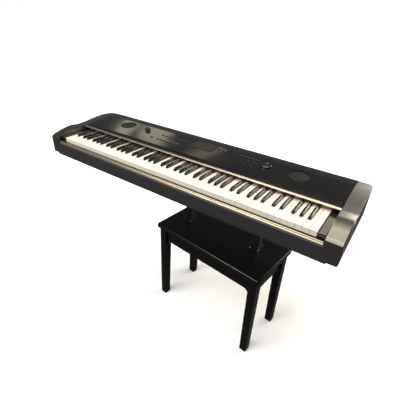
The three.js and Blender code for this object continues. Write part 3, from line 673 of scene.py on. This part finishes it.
def turned(outline, around, origin, axis_x, axis_y, axis_z, swell=1.0):
    """Surface of revolution: each (radius, height) pair is a ring of points about the axis; swell scales the
    radius as a function of the pair's index and the angle."""
    angle = np.arange(around) * 2 * math.pi / around
    radius = outline[:, :1] * swell * np.ones((len(outline), around))
    spokes = np.cos(angle)[:, None] * axis_x + np.sin(angle)[:, None] * axis_y
    local = radius[..., None] * spokes + outline[:, 1][:, None, None] * axis_z
    return loft(local + origin)


def on_slope(points, origin):
    """Points drawn as (across, uphill, out) about an origin on the panel's sloping face."""
    return origin + points[:, :1] * X_AXIS + points[:, 1:2] * UPHILL + points[:, 2:3] * NORMAL


def refined(node, body, slot, radius, segments=2, angle=30.0):
    """A cleaned copy of a CAD solid: doubles merged, flat faces joined, and every crisp edge rounded."""
    same_place, same_plane = 1e-6, math.radians(0.5)
    work = bmesh.new()
    work.from_mesh(frame["nodes"][node].data)
    bmesh.ops.remove_doubles(work, verts=work.verts, dist=same_place)
    bmesh.ops.dissolve_limit(work, angle_limit=same_plane, verts=work.verts, edges=work.edges)
    mesh = bpy.data.meshes.new(f"{node}_skin")
    work.to_mesh(mesh)
    work.free()
    mesh.materials.clear()
    mesh.materials.append(finish(slot))
    mesh.polygons.foreach_set("use_smooth", [True] * len(mesh.polygons))
    mesh.polygons.foreach_set("material_index", [0] * len(mesh.polygons))
    mesh.set_sharp_from_angle(angle=math.radians(angle))
    piece = bpy.data.objects.new(f"{node}_skin", mesh)
    bpy.context.scene.collection.objects.link(piece)
    bevel = piece.modifiers.new("edge", "BEVEL")
    bevel.width = radius
    bevel.segments = segments
    bevel.limit_method = "ANGLE"
    bevel.angle_limit = math.radians(angle)
    bevel.miter_outer = "MITER_ARC"
    bevel.use_clamp_overlap = True
    bevel.harden_normals = True
    return attach(piece, body, slot, node)


def refinish(node, finish_name):
    """A CAD solid keeps its shape and gets a detailed finish."""
    mesh = frame["nodes"][node].data
    mesh.materials.clear()
    mesh.materials.append(finish(finish_name))


def slot_of(node):
    """The material slot that the record gives a node."""
    return next(s["material_slot"] for s in frame["record"]["subparts"] if s["node"] == node)


# ---- keys -------------------------------------------------------------------------------------

def key_list():
    """Every key from the lowest A, with its semitone, octave, colour and middle."""
    keys, place = [], 0
    left = KEY_LOW[0] - KEY_GAP / 2
    for number in range(KEY_COUNT):
        octave, semitone = divmod(number + FIRST_SEMITONE, OCTAVE)
        black = semitone in BLACK_OFFSETS
        crack = left + place * PITCH
        x = crack + BLACK_OFFSETS[semitone] if black else crack + PITCH / 2
        keys.append({"semitone": semitone, "octave": octave, "black": black, "x": x})
        place += 0 if black else 1
    return keys


KEYS = key_list()


def white_key(key):
    """Stack of plan outlines: the body set back under a thin lip, then the top rounding in over its edge."""
    s = sizes()
    bar_depth, lip_height, lip_slope = 26 * MM, 3.2 * MM, 0.3 * MM
    left, right = key["x"] - (PITCH - KEY_GAP) / 2, key["x"] + (PITCH - KEY_GAP) / 2
    reach = BLACK_WIDTH / 2 + BLACK_CLEARANCE
    start, end = BLACK_FRONT - BLACK_CLEARANCE, KEY_TAIL - bar_depth
    beside = [k["x"] for k in KEYS if k["black"] and abs(k["x"] - key["x"]) < PITCH]
    above = [x for x in beside if x > key["x"]]
    below = [x for x in beside if x < key["x"]]
    plan = [(left, KEY_FRONT), (right, KEY_FRONT)]
    if above:
        plan += [(right, start), (above[0] - reach, start), (above[0] - reach, end), (right, end)]
    plan += [(right, KEY_TAIL), (left, KEY_TAIL)]
    if below:
        plan += [(left, end), (below[0] + reach, end), (below[0] + reach, start), (left, start)]
    plan = np.array(plan)
    body = plan.copy()
    body[:2, 1] += s.key_lip
    lip = KEY_TOP - lip_height
    levels = [(body, 0.0, KEY_UNDER), (body, 0.0, lip), (plan, 0.0, lip + lip_slope)]
    levels += [(plan, a, KEY_TOP - b) for a, b in edge_profile(s.key_edge, s.edge_steps)]
    rings = [np.column_stack([inset(o, a), np.full(len(o), z)]) for o, a, z in levels]
    return loft(np.array(rings))


def black_key(key):
    """Stack of rounded rectangles that narrow upwards while the front slopes back, then a rounded top edge;
    a thin tail runs back to the pivot."""
    rear = PANEL_NOSE + 11 * MM         # far enough under the panel to stay hidden when pressed
    half = BLACK_WIDTH / 2
    corner, least_corner, top_radius = 1.2 * MM, 0.3 * MM, 2.2 * MM
    narrowing = 0.8 * MM * np.array([0.0, 0.0, 1.0])
    lean = 5.2 * MM * np.array([0.0, 0.12, 1.0])
    front_run = 1.4                     # how much further the top edge rolls back at the front
    heights = [BLACK_UNDER, KEY_TOP, BLACK_TOP - top_radius]
    rings = [key_ring(key["x"], half - narrow, BLACK_FRONT + back, rear, z, corner)
             for z, narrow, back in zip(heights, narrowing, lean)]
    for a, b in edge_profile(top_radius, sizes().edge_steps)[1:]:
        rings.append(key_ring(key["x"], half - narrowing[-1] - a, BLACK_FRONT + lean[-1] + a * front_run,
                              rear - a, BLACK_TOP - b, max(corner - a * 0.5, least_corner)))
    overlap, tail_low, tail_high, tail_corner = 4 * MM, 3.5 * MM, 10 * MM, 0.4 * MM
    tail = np.array([key_ring(key["x"], half - narrowing[-1], rear - overlap, KEY_TAIL, KEY_TOP + z,
                              tail_corner) for z in (tail_low, tail_high)])
    return merge([loft(np.array(rings)), loft(tail)])


def key_ring(x, half, front, rear, z, radius):
    """Level rounded rectangle about a key's middle line, from its front to its rear."""
    outline = rounded_rectangle(2 * half, rear - front, radius, 4) + np.array([x, (front + rear) / 2])
    return np.column_stack([outline, np.full(len(outline), z)])


class PIANO_OT_keys(bpy.types.Operator):
    """Builds the eighty-eight keys: the middle octave key by key, the rest on their four gangs"""

    bl_idname = "piano.keys"
    bl_label = "Keys"

    def execute(self, context):
        for key in (k for k in KEYS if k["octave"] == MIDDLE_OCTAVE):
            node = f"key_{NOTES[key['semitone']]}"
            shape = black_key(key) if key["black"] else white_key(key)
            add(f"{node}_cover", shape, slot_of(node), node, slot_of(node), node)
        for side, chosen in (("bass", lambda o: o < MIDDLE_OCTAVE), ("treble", lambda o: o > MIDDLE_OCTAVE)):
            for colour, shape in (("white", white_key), ("black", black_key)):
                node = f"{colour}_keys_{side}"
                keys = [k for k in KEYS if k["black"] == (colour == "black") and chosen(k["octave"])]
                covers = merge([shape(k) for k in keys])
                add(f"{node}_covers", covers, slot_of(node), node, slot_of(node), node)
        return {"FINISHED"}


# ---- case -------------------------------------------------------------------------------------

class PIANO_OT_case(bpy.types.Operator):
    """Builds the cheeks, end blocks, key slip, trims, panel, floor plate and rear wall"""

    bl_idname = "piano.case"
    bl_label = "Case"

    def execute(self, context):
        s = sizes()
        for side in ("left", "right"):
            cheek, block = f"cheek_{side}", f"end_block_{side}"
            refined(cheek, FIXED, slot_of(cheek), 2.0 * MM, 3, 20.0)
            refined(block, FIXED, slot_of(block), 2.2 * MM, 4)
        refinish("control_panel", "panel_gloss")
        refined("key_slip", FIXED, "slip_satin", s.edge, 3, 25.0)
        refined("slip_ledge", FIXED, "trim_metal", 1.0 * MM, 3, 25.0)
        refined("bottom_case", FIXED, "case_satin", s.edge, 2)
        refined("rear_panel", FIXED, "case_satin", 0.6 * MM, 2)
        refined("power_inlet", FIXED, "case_satin", 0.4 * MM, 2)
        add("nose_trim", nose_trim(), "trim_metal", FIXED, "trim_metal")
        add("key_felt", key_felt(), "red_felt", FIXED, "red_felt", "felt_strip")
        add("nose_fascia", nose_fascia(), "fascia_bronze", FIXED, "trim_metal")
        for node in ("circuit_board", "key_frame"):
            refinish(node, slot_of(node))
        return {"FINISHED"}


def nose_trim():
    """Metal strip carried along the panel's nose: up the front face, round a quarter circle and back along
    the slope; the same path, moved inwards by the strip's thickness, closes the section."""
    x0, x1 = low("control_panel")[0] + 1 * MM, high("control_panel")[0] - 1 * MM
    nose_height, foot_drop, crown = 20.0 * MM, 3.8 * MM, 0.5 * MM
    radius, proud, thick = 2.4 * MM, 0.25 * MM, 0.9 * MM
    tail_run, tail_rise = 6.4 * MM, 1.56 * MM
    angle = np.linspace(math.pi, math.radians(104), 9)
    centre = np.array([radius - proud, nose_height - radius + crown])
    arc = centre + radius * np.stack([np.cos(angle), np.sin(angle)], 1)
    foot = np.array([(-proud, nose_height - foot_drop)])
    tail = np.array([arc[-1] + (tail_run, tail_rise)])
    inner_arc = centre + (radius - thick) * (arc - centre) / radius
    section = np.concatenate([foot, arc, tail, tail - (0, thick), inner_arc[::-1], foot + (thick, 0)])
    section += (PANEL_NOSE, KEY_TOP)
    return loft(np.array([np.column_stack([np.full(len(section), x), section]) for x in (x1, x0)]))


def tooth_edges():
    """Left and right ends of the stretches between the black keys, at the back of the keys."""
    half = BLACK_WIDTH / 2 + BLACK_CLEARANCE
    blacks = np.array([key["x"] for key in KEYS if key["black"]])
    starts = np.concatenate([[low("felt_strip")[0]], blacks + half])
    ends = np.concatenate([blacks - half, [high("felt_strip")[0]]])
    return np.stack([starts, ends], 1)


def key_felt():
    """Row of soft pads between the black keys, each a plate with rounded upper edges."""
    y0, y1 = low("felt_strip")[1], high("felt_strip")[1]
    bottom, top, edge, corner = KEY_TOP + 0.8 * MM, KEY_TOP + 2.3 * MM, 0.6 * MM, 1 * MM
    parts = []
    for x0, x1 in tooth_edges():
        outline = rounded_rectangle(x1 - x0, y1 - y0, corner, 3) + np.array([(x0 + x1) / 2, (y0 + y1) / 2])
        parts.append(slab(outline, bottom, top, edge, steps=3))
    return merge(parts)


def nose_fascia():
    """Comb-shaped board behind the felt: one face outline that steps down between the black keys, carried
    through the board's thickness."""
    margin = 0.3 * MM
    y0, y1 = low("felt_strip")[1] + margin, high("felt_strip")[1] - margin
    bottom, roof, top = KEY_TOP + 2.4 * MM, KEY_TOP + 12.5 * MM, high("felt_strip")[2]
    teeth = tooth_edges()
    x = np.repeat(teeth.reshape(-1), 2)[1:-1]
    x = np.concatenate([[teeth[0, 0]], x, [teeth[-1, 1]]])
    z = np.tile([bottom, bottom, roof, roof], len(teeth))[:len(x)]
    outline = np.concatenate([np.stack([x, z], 1), [(x[-1], top), (x[0], top)]])
    rings = [np.column_stack([outline[:, 0], np.full(len(outline), y), outline[:, 1]]) for y in (y0, y1)]
    return loft(np.array(rings)[::-1])


# ---- controls ---------------------------------------------------------------------------------

def knob():
    """Turned knob whose grip is ribbed: the radius swells with the cosine of the rib count times the
    angle. The outline is (radius, height) in millimetres."""
    outline = np.array([(3.0, -4.6), (3.0, 0.6), (14.8, 0.6), (15.0, 1.2), (14.6, 2.0), (13.4, 2.8),
                        (12.8, 4.0), (12.5, 10.5), (12.1, 12.1), (11.2, 12.8), (9.5, 13.0), (8.6, 12.6),
                        (0.4, 12.5)]) * MM
    ribs, points_per_rib, rib_share = sizes().knurls, 8, 0.028
    angle = np.arange(ribs * points_per_rib) * 2 * math.pi / (ribs * points_per_rib)
    grip = np.isin(np.arange(len(outline)), (6, 7, 8))[:, None]
    swell = 1 + grip * rib_share * np.cos(ribs * angle)[None, :]
    return turned(outline, len(angle), KNOB_AXIS, X_AXIS, UPHILL, NORMAL, swell)


def pointer():
    """Inlaid pointer line on the knob's top."""
    width, length, corner, off_centre = 1.1 * MM, 7.0 * MM, 0.5 * MM, 8.2 * MM
    outline = rounded_rectangle(width, length, corner) + np.array([0, off_centre])
    points, faces = slab(outline, 12.4 * MM, 13.0 * MM, 0.2 * MM)
    return on_slope(points, KNOB_AXIS), faces


def dial():
    """Data wheel: a turned disc whose upper face sinks into a finger dimple, a bowl with a cosine rim."""
    around, rings = 96, 22
    face = 6.5 * MM
    dimple_place, dimple_radius, dimple_depth = 11.5 * MM, 6.5 * MM, 2.2 * MM
    side = np.array([(3.0, -4.6), (3.0, 0.6), (20.6, 0.6), (21.0, 1.0), (21.0, 4.6), (20.7, 5.7),
                     (19.8, 6.4)]) * MM
    top = np.column_stack([np.linspace(19.2, 0.3, rings) * MM, np.full(rings, face)])
    outline = np.concatenate([side, top])
    on_face = np.arange(len(outline)) >= len(side)
    angle = np.arange(around) * 2 * math.pi / around
    x, y = outline[:, :1] * np.cos(angle), outline[:, :1] * np.sin(angle)
    away = np.minimum(np.hypot(x, y - dimple_place) / dimple_radius, 1)
    bowl = (1 + np.cos(np.pi * away)) / 2
    z = outline[:, 1:] - bowl * dimple_depth * on_face[:, None]
    local = np.stack([x, y, z], -1).reshape(-1, 3)
    return loft(on_slope(local, DIAL_AXIS).reshape(len(outline), around, 3))


def grille(node):
    """Polar sheet: rings by spokes over a shallow dome, with every second cell of the perforated zone left
    open, then thickened; towards the hub the open cells grow wider, so that the webs don't get too thin."""
    around = sizes().perforations
    hub, rim = [0.6], [38.6, 39.8]
    radii = np.concatenate([hub, np.arange(4, 37, 1.35), rim]) * MM
    dome_height, sink, sheet = 0.9 * MM, 0.4 * MM, 0.9 * MM
    angle = np.arange(around) * 2 * math.pi / around
    dome = dome_height * (1 - (radii / radii[-1]) ** 2)
    local = np.stack([radii[:, None] * np.cos(angle), radii[:, None] * np.sin(angle),
                      dome[:, None] * np.ones(around)], -1)
    points = on_slope(local.reshape(-1, 3), middle(node) - NORMAL * sink)
    count = len(radii)
    i, j = np.meshgrid(np.arange(count - 1), np.arange(around), indexing="ij")
    spokes = np.where(i < 6, 4, np.where(i < 12, 2, 1))
    open_cell = (i % 2 == 1) & ((j // spokes) % 2 == 0) & (i < count - len(rim) - 1)
    quads = ring_quads(i, j, around, count)[~open_cell][:, ::-1]
    faces = [list(q) for q in quads]
    faces.append(list(range(around)))
    piece = new_piece(f"{node}_mesh", points, faces, "grille_metal")
    thick = piece.modifiers.new("sheet", "SOLIDIFY")
    thick.thickness = sheet
    thick.offset = -1
    return piece


def slope_origin():
    """Point of the panel's upper face in line with the middle of the piano and the row of tone buttons."""
    cap_rise, cap_reach = 2.4 * MM, 4.8 * MM
    at = middle("tone_button_1") - NORMAL * (cap_rise - cap_reach) / 2
    return np.array([0.0, at[1], at[2]])


def strip(across, uphill, width, length):
    """Thin printed bar at (across, uphill) millimetres on the slope, from the row of tone buttons' middle."""
    sunk, proud = 0.05 * MM, 0.12 * MM
    outline = rounded_rectangle(width * MM, length * MM, min(width, length) * 0.45 * MM, 3)
    points, faces = slab(outline + np.array([across, uphill]) * MM, -sunk, proud, sunk, steps=1)
    return on_slope(points, slope_origin()), faces


def lamp(across, uphill):
    """Low dome beside a button, at (across, uphill) millimetres."""
    outline = np.array([(1.0, -0.3), (1.0, 0.25), (0.8, 0.5), (0.4, 0.68), (0.05, 0.72)]) * MM
    origin = on_slope(np.array([[across, uphill, 0.0]]) * MM, slope_origin())[0]
    return turned(outline, 12, origin, X_AXIS, UPHILL, NORMAL)


class PIANO_OT_controls(bpy.types.Operator):
    """Builds the buttons, knob, data wheel, display, grilles and the printed marks"""

    bl_idname = "piano.controls"
    bl_label = "Controls"

    def execute(self, context):
        nodes = [f"tone_button_{i}" for i in range(1, 9)] + ["cursor_button_1", "cursor_button_2"]
        nodes += ["voice_button_bank", "menu_button_bank", "power_button"]
        for node in nodes:
            refined(node, node, "button_black", 0.45 * MM, 2)
        add("volume_knob_grip", knob(), "knob_black", "volume_knob", "knob_black", "volume_knob")
        add("volume_pointer", pointer(), "marking_grey", "volume_knob", "knob_black")
        add("data_dial_wheel", dial(), "dial_chrome", "data_dial", "dial_chrome", "data_dial")
        self.display()
        self.marks()
        for side in ("left", "right"):
            node = f"speaker_grille_{side}"
            attach(grille(node), FIXED, "grille_metal", node)
            refinish(f"speaker_driver_{side}", "driver_black")
        return {"FINISHED"}

    def display(self):
        """A raised bezel around the window, which keeps its CAD solid: rounded rectangles joined in a
        loop."""
        refinish("display_window", "display_glass")
        margin, cover = 11 * MM, 1.6 * MM
        size = high("display_window") - low("display_window")
        wide, tall = size[0], size[1] / NORMAL[2] - 0.4 * MM
        outer = rounded_rectangle(wide + margin, tall + margin, 4 * MM, 6)
        inner = rounded_rectangle(wide - cover, tall - cover, 1.4 * MM, 6)
        levels = [(outer, 0.0), (outer, 0.5), (inset(outer, 0.5 * MM), 0.8), (inset(inner, -0.5 * MM), 0.8),
                  (inner, 0.4), (inner, 0.0)]
        rings = np.array([np.column_stack([o, np.full(len(o), z * MM)]) for o, z in levels])
        count, around = rings.shape[:2]
        i, j = np.meshgrid(np.arange(count), np.arange(around), indexing="ij")
        quads = ring_quads(i, j, around, count).reshape(-1, 4)
        centre = middle("display_window")
        origin = centre - NORMAL * ((centre - slope_origin()) @ NORMAL)
        shape = on_slope(rings.reshape(-1, 3), origin), [list(q) for q in quads]
        add("display_bezel", shape, "display_frame", FIXED, "panel_gloss")

    def marks(self):
        """Plain bars over the buttons, a line over each group, and one lamp by each tone button."""
        places = [middle(f"tone_button_{i}")[0] / MM for i in range(1, 9)]
        first, last = places[1], places[-1]
        bars = [strip(x, 8.2, 7.0, 0.7) for x in places]
        bars += [strip((first + last) / 2, 11.5, last - first + 12, 0.5)]
        bars += [strip(x * 21.5 - 224, 54.5, 6.0, 0.6) for x in range(8)]
        bars += [strip(212, 72.0, 118, 0.5), strip(95, 76.0, 50, 0.5)]
        bars += [strip(x, 60.0, 0.5, 6.0) for x in (-344.0, -308.0)]
        add("printed_marks", merge(bars), "marking_grey", FIXED, "panel_gloss")
        add("tone_lamps", merge([lamp(x, -7.4) for x in places]), "lamp_red", FIXED, "button_black")


# ---- stand ------------------------------------------------------------------------------------

def stand_turn():
    """Angle of the stand about the upright, from the line through its two front feet, and its centre."""
    feet = {m["name"]: np.array(m["pos_m"]) for m in frame["record"]["mounts"]}
    across = feet["foot_front_right"] - feet["foot_front_left"]
    return math.atan2(across[1], across[0]), sum(feet.values()) / len(feet)


def turned_plan(points, angle):
    """Level points turned about the upright through the origin."""
    c, s = math.cos(angle), math.sin(angle)
    return points @ np.array([[c, s], [-s, c]])


def stand_top():
    """Board with rounded corners whose whole edge is a half-round nosing."""
    turn, centre = stand_turn()
    corner, upper_edge, lower_edge = 12 * MM, 8 * MM, 6 * MM
    points = np.array([v.co for v in frame["nodes"]["stand_top"].data.vertices]) - centre
    width, depth = np.ptp(turned_plan(points[:, :2], -turn), axis=0)
    outline = turned_plan(rounded_rectangle(width, depth, corner, 9), turn) + centre[:2]
    return slab(outline, low("stand_top")[2], high("stand_top")[2], upper_edge, lower_edge, 8)


def bolt_heads(node):
    """Four hexagon bolts through the riser's base plate."""
    plate, reach_x, reach_y = 4 * MM, 19.2 * MM, 26 * MM
    outline = np.array([(3.2, -0.3), (3.2, 2.2), (2.7, 2.6), (0.2, 2.6)]) * MM
    x, y, _ = middle(node)
    z = low(node)[2] + plate
    parts = []
    for sx in (-1, 1):
        for sy in (-1, 1):
            origin = np.array([x + sx * reach_x, y + sy * reach_y, z])
            parts.append(turned(outline, 6, origin, X_AXIS, Y_AXIS, Z_AXIS))
    return merge(parts)


class PIANO_OT_stand(bpy.types.Operator):
    """Builds the wooden stand and the steel riser"""

    bl_idname = "piano.stand"
    bl_label = "Stand"

    def execute(self, context):
        s = sizes()
        add("stand_board", stand_top(), "black_lacquer", FIXED, "black_lacquer", "stand_top")
        for side in ("left", "right"):
            refined(f"leg_front_{side}", FIXED, "black_lacquer", s.wood_edge, 3)
            refined(f"leg_rear_{side}", FIXED, "black_lacquer", s.wood_edge, 3)
            refined(f"apron_{side}", FIXED, "black_lacquer", s.wood_edge, 2)
            refined(f"riser_{side}", FIXED, "riser_paint", 1.2 * MM, 2)
            add(f"riser_bolts_{side}", bolt_heads(f"riser_{side}"), "socket_steel", FIXED, "riser_paint")
        refined("apron_front", FIXED, "black_lacquer", s.wood_edge, 2)
        refined("apron_rear", FIXED, "black_lacquer", s.wood_edge, 2)
        return {"FINISHED"}


# ---- stage ------------------------------------------------------------------------------------

CAMERA_PLACE = (0.7511, -1.0346, 1.3495)
CAMERA_YAW = 33.77              # degrees
CAMERA_PITCH = 30.44
CAMERA_ROLL = 2.87
CAMERA_LENS = 28.776            # millimetres, as is the sensor
CAMERA_SENSOR = 36.0


def sweep_backdrop():
    """Floor that turns up into a wall through a quarter circle, carried sideways."""
    front, reach, radius, height, half = -4.5, 3.2, 1.2, 3.4, 6.0
    angle = np.linspace(0, math.pi / 2, 24)
    bend = np.stack([reach + radius * np.sin(angle), radius * (1 - np.cos(angle))], 1)
    section = np.concatenate([[(front, 0.0)], bend, [(reach + radius, height)]])
    left = np.column_stack([np.full(len(section), -half), section])
    right = np.column_stack([np.full(len(section), half), section])
    n = len(section)
    i = np.arange(n - 1)
    faces = np.stack([i, i + n, i + n + 1, i + 1], 1)
    return np.concatenate([left, right]), [list(f) for f in faces]


def area_light(name, place, aim, size, radiance, colour, turn):
    """Rectangle that faces its aim, turned about that line; its power is pi times its area times the
    brightness of its face."""
    data = bpy.data.lights.new(name, "AREA")
    data.shape = "RECTANGLE"
    data.size, data.size_y = size
    data.energy = radiance * math.pi * size[0] * size[1]
    data.color = colour
    light = bpy.data.objects.new(name, data)
    light.visible_camera = False
    bpy.context.scene.collection.objects.link(light)
    z = np.array(place) - np.array(aim)
    z /= np.linalg.norm(z)
    level = np.cross(Z_AXIS, z)
    level /= np.linalg.norm(level)
    up = np.cross(z, level)
    c, s = math.cos(math.radians(turn)), math.sin(math.radians(turn))
    x, y = c * level + s * up, c * up - s * level
    light.matrix_world = Matrix([(*row, at) for row, at in zip(np.stack([x, y, z], 1).tolist(), place)]
                                + [(0, 0, 0, 1)])
    return light


PANEL_PIECES = ("control_panel", "display_bezel", "display_window", "volume_knob_grip", "data_dial_wheel",
                "printed_marks", "speaker_grille_left_mesh", "voice_button_bank_skin",
                *(f"tone_button_{i}_skin" for i in range(1, 9)))
ARM_REST_PIECES = ("cheek_right_skin", "end_block_right_skin", "slip_ledge_skin", "nose_trim", "nose_fascia")
BLACK_KEY_PIECES = ("black_keys_bass_covers", "black_keys_treble_covers", "key_c_sharp_cover",
                    "key_d_sharp_cover", "key_f_sharp_cover", "key_g_sharp_cover", "key_a_sharp_cover")

# Each light: name, place, aim, width and height, brightness of its face, colour, turn in degrees, pieces it
# lights (every piece where none are named).
SOFTBOXES = (
    ("ceiling_softbox", (0.30, 0.35, 2.85), (0.3, 0.0, 0.8), (1.8, 1.5), 3.4, (1.0, 0.93, 0.80), 0, ()),
    ("front_softbox", (-0.90, -2.20, 2.50), (0.1, 0.0, 0.75), (2.0, 1.4), 6.5, (1.0, 0.98, 0.95), 0, ()),
    ("rim_softbox", (1.25, 1.97, 1.46), (0.4, -0.1, 0.81), (1.5, 1.1), 7.5, (1.0, 0.91, 0.76), 0, ()),
    ("card_strip", (-2.24, 1.60, 1.86), (-0.45, 0.08, 0.83), (0.60, 0.14), 2.0, (1.0, 0.95, 0.70), 35,
     PANEL_PIECES),
    ("card_knob", (-1.78, 1.60, 1.86), (-0.25, 0.08, 0.83), (0.44, 0.28), 1.6, (1.0, 0.96, 0.68), 35,
     PANEL_PIECES),
    ("card_display", (-1.12, 1.60, 1.96), (0.05, 0.02, 0.83), (0.56, 0.12), 0.9, (1.0, 0.90, 0.64), 20,
     PANEL_PIECES),
    ("card_arm_rest", (0.42, 1.60, 1.68), (0.66, -0.1, 0.82), (0.6, 0.62), 1.35, (1.0, 0.95, 0.86), 0,
     ARM_REST_PIECES),
    ("card_arm_rest_front", (0.45, 1.20, 2.85), (0.66, -0.15, 0.82), (0.6, 0.5), 2.2, (1.0, 0.93, 0.80), 0,
     ARM_REST_PIECES),
    ("key_rim", (1.20, 1.90, 1.55), (0.3, -0.1, 0.81), (1.3, 0.8), 9.0, (1.0, 0.86, 0.66), 0,
     BLACK_KEY_PIECES),
    ("board_edge", (-0.91, -2.00, 2.34), (0.3, -0.1, 0.45), (0.5, 0.4), 55.0, (1.0, 1.0, 1.0), 0,
     ("stand_board",)),
)
SUN_STRENGTH = 2.1
SUN_SOFTNESS = 50.0
SUN_TILT = (20.0, -12.0)
FILL = (0.15, 0.147, 0.14, 1.0)


class PIANO_OT_stage(bpy.types.Operator):
    """Sets out the floor, the soft lights and the camera"""

    bl_idname = "piano.stage"
    bl_label = "Studio"

    def execute(self, context):
        scene = context.scene
        backdrop = new_piece("studio_floor", *sweep_backdrop(), "floor_paper", 80)
        backdrop.visible_glossy = False
        backdrop.visible_diffuse = False
        scene.world = self.surroundings()
        for name, place, aim, size, radiance, colour, turn, pieces in SOFTBOXES:
            light = area_light(name, place, aim, size, radiance, colour, turn)
            if pieces:
                light.light_linking.receiver_collection = self.lit_pieces(name, pieces)
        self.sky()
        scene.camera = self.camera()
        scene.view_settings.view_transform = "Standard"
        return {"FINISHED"}

    def sky(self):
        """Very soft sun that stands for the light of a white room."""
        sun_data = bpy.data.lights.new("sky", "SUN")
        sun_data.energy = SUN_STRENGTH
        sun_data.angle = math.radians(SUN_SOFTNESS)
        sun = bpy.data.objects.new("sky", sun_data)
        sun.rotation_euler = (math.radians(SUN_TILT[0]), math.radians(SUN_TILT[1]), 0.0)
        bpy.context.scene.collection.objects.link(sun)

    def camera(self):
        """Camera above the treble end, looking down to the bass end."""
        camera_data = bpy.data.cameras.new("camera")
        camera_data.lens = CAMERA_LENS
        camera_data.sensor_width = CAMERA_SENSOR
        camera = bpy.data.objects.new("camera", camera_data)
        bpy.context.scene.collection.objects.link(camera)
        turn = (Matrix.Rotation(math.radians(CAMERA_YAW), 4, "Z")
                @ Matrix.Rotation(math.radians(90 - CAMERA_PITCH), 4, "X")
                @ Matrix.Rotation(math.radians(CAMERA_ROLL), 4, "Z"))
        camera.matrix_world = Matrix.Translation(CAMERA_PLACE) @ turn
        return camera

    def lit_pieces(self, name, pieces):
        """The collection of pieces that a light is kept to: carried-over nodes or pieces made here."""
        lit = bpy.data.collections.new(f"{name}_pieces")
        for piece in pieces:
            lit.objects.link(frame["nodes"].get(piece) or bpy.data.objects[piece])
        return lit

    def surroundings(self):
        """White room behind the piece, but only a dim fill as a light."""
        world = bpy.data.worlds.new("studio")
        world.use_nodes = True
        tree = world.node_tree
        background = tree.nodes["Background"]
        path = tree.nodes.new("ShaderNodeLightPath")
        pick = tree.nodes.new("ShaderNodeMix")
        pick.data_type = "RGBA"
        pick.inputs[6].default_value = FILL
        pick.inputs[7].default_value = (1.0, 1.0, 1.0, 1.0)
        tree.links.new(path.outputs["Is Camera Ray"], pick.inputs[0])
        tree.links.new(pick.outputs[2], background.inputs["Color"])
        return world


# ---- add-on -----------------------------------------------------------------------------------

OPERATORS = (PIANO_OT_keys, PIANO_OT_case, PIANO_OT_controls, PIANO_OT_stand, PIANO_OT_stage)


class PIANO_PT_sidebar(bpy.types.Panel):
    bl_idname = "PIANO_PT_sidebar"
    bl_label = "Digital piano"
    bl_space_type = "VIEW_3D"
    bl_region_type = "UI"
    bl_category = "Piano"

    def draw(self, context):
        for operator in OPERATORS:
            self.layout.operator(operator.bl_idname)
        for group in (context.scene.piano_sizes, context.scene.piano_colours):
            column = self.layout.column()
            for name in group.bl_rna.properties.keys():
                if name not in ("rna_type", "name"):
                    column.prop(group, name)


CLASSES = (PianoSizes, PianoColours, *OPERATORS, PIANO_PT_sidebar)


def register():
    for each in CLASSES:
        bpy.utils.register_class(each)
    bpy.types.Scene.piano_sizes = PointerProperty(type=PianoSizes)
    bpy.types.Scene.piano_colours = PointerProperty(type=PianoColours)


def unregister():
    del bpy.types.Scene.piano_colours
    del bpy.types.Scene.piano_sizes
    for each in reversed(CLASSES):
        bpy.utils.unregister_class(each)


def main():
    register()
    bpy.ops.piano.keys()
    bpy.ops.piano.case()
    bpy.ops.piano.controls()
    bpy.ops.piano.stand()
    bpy.ops.piano.stage()


if __name__ == "__main__":
    main()
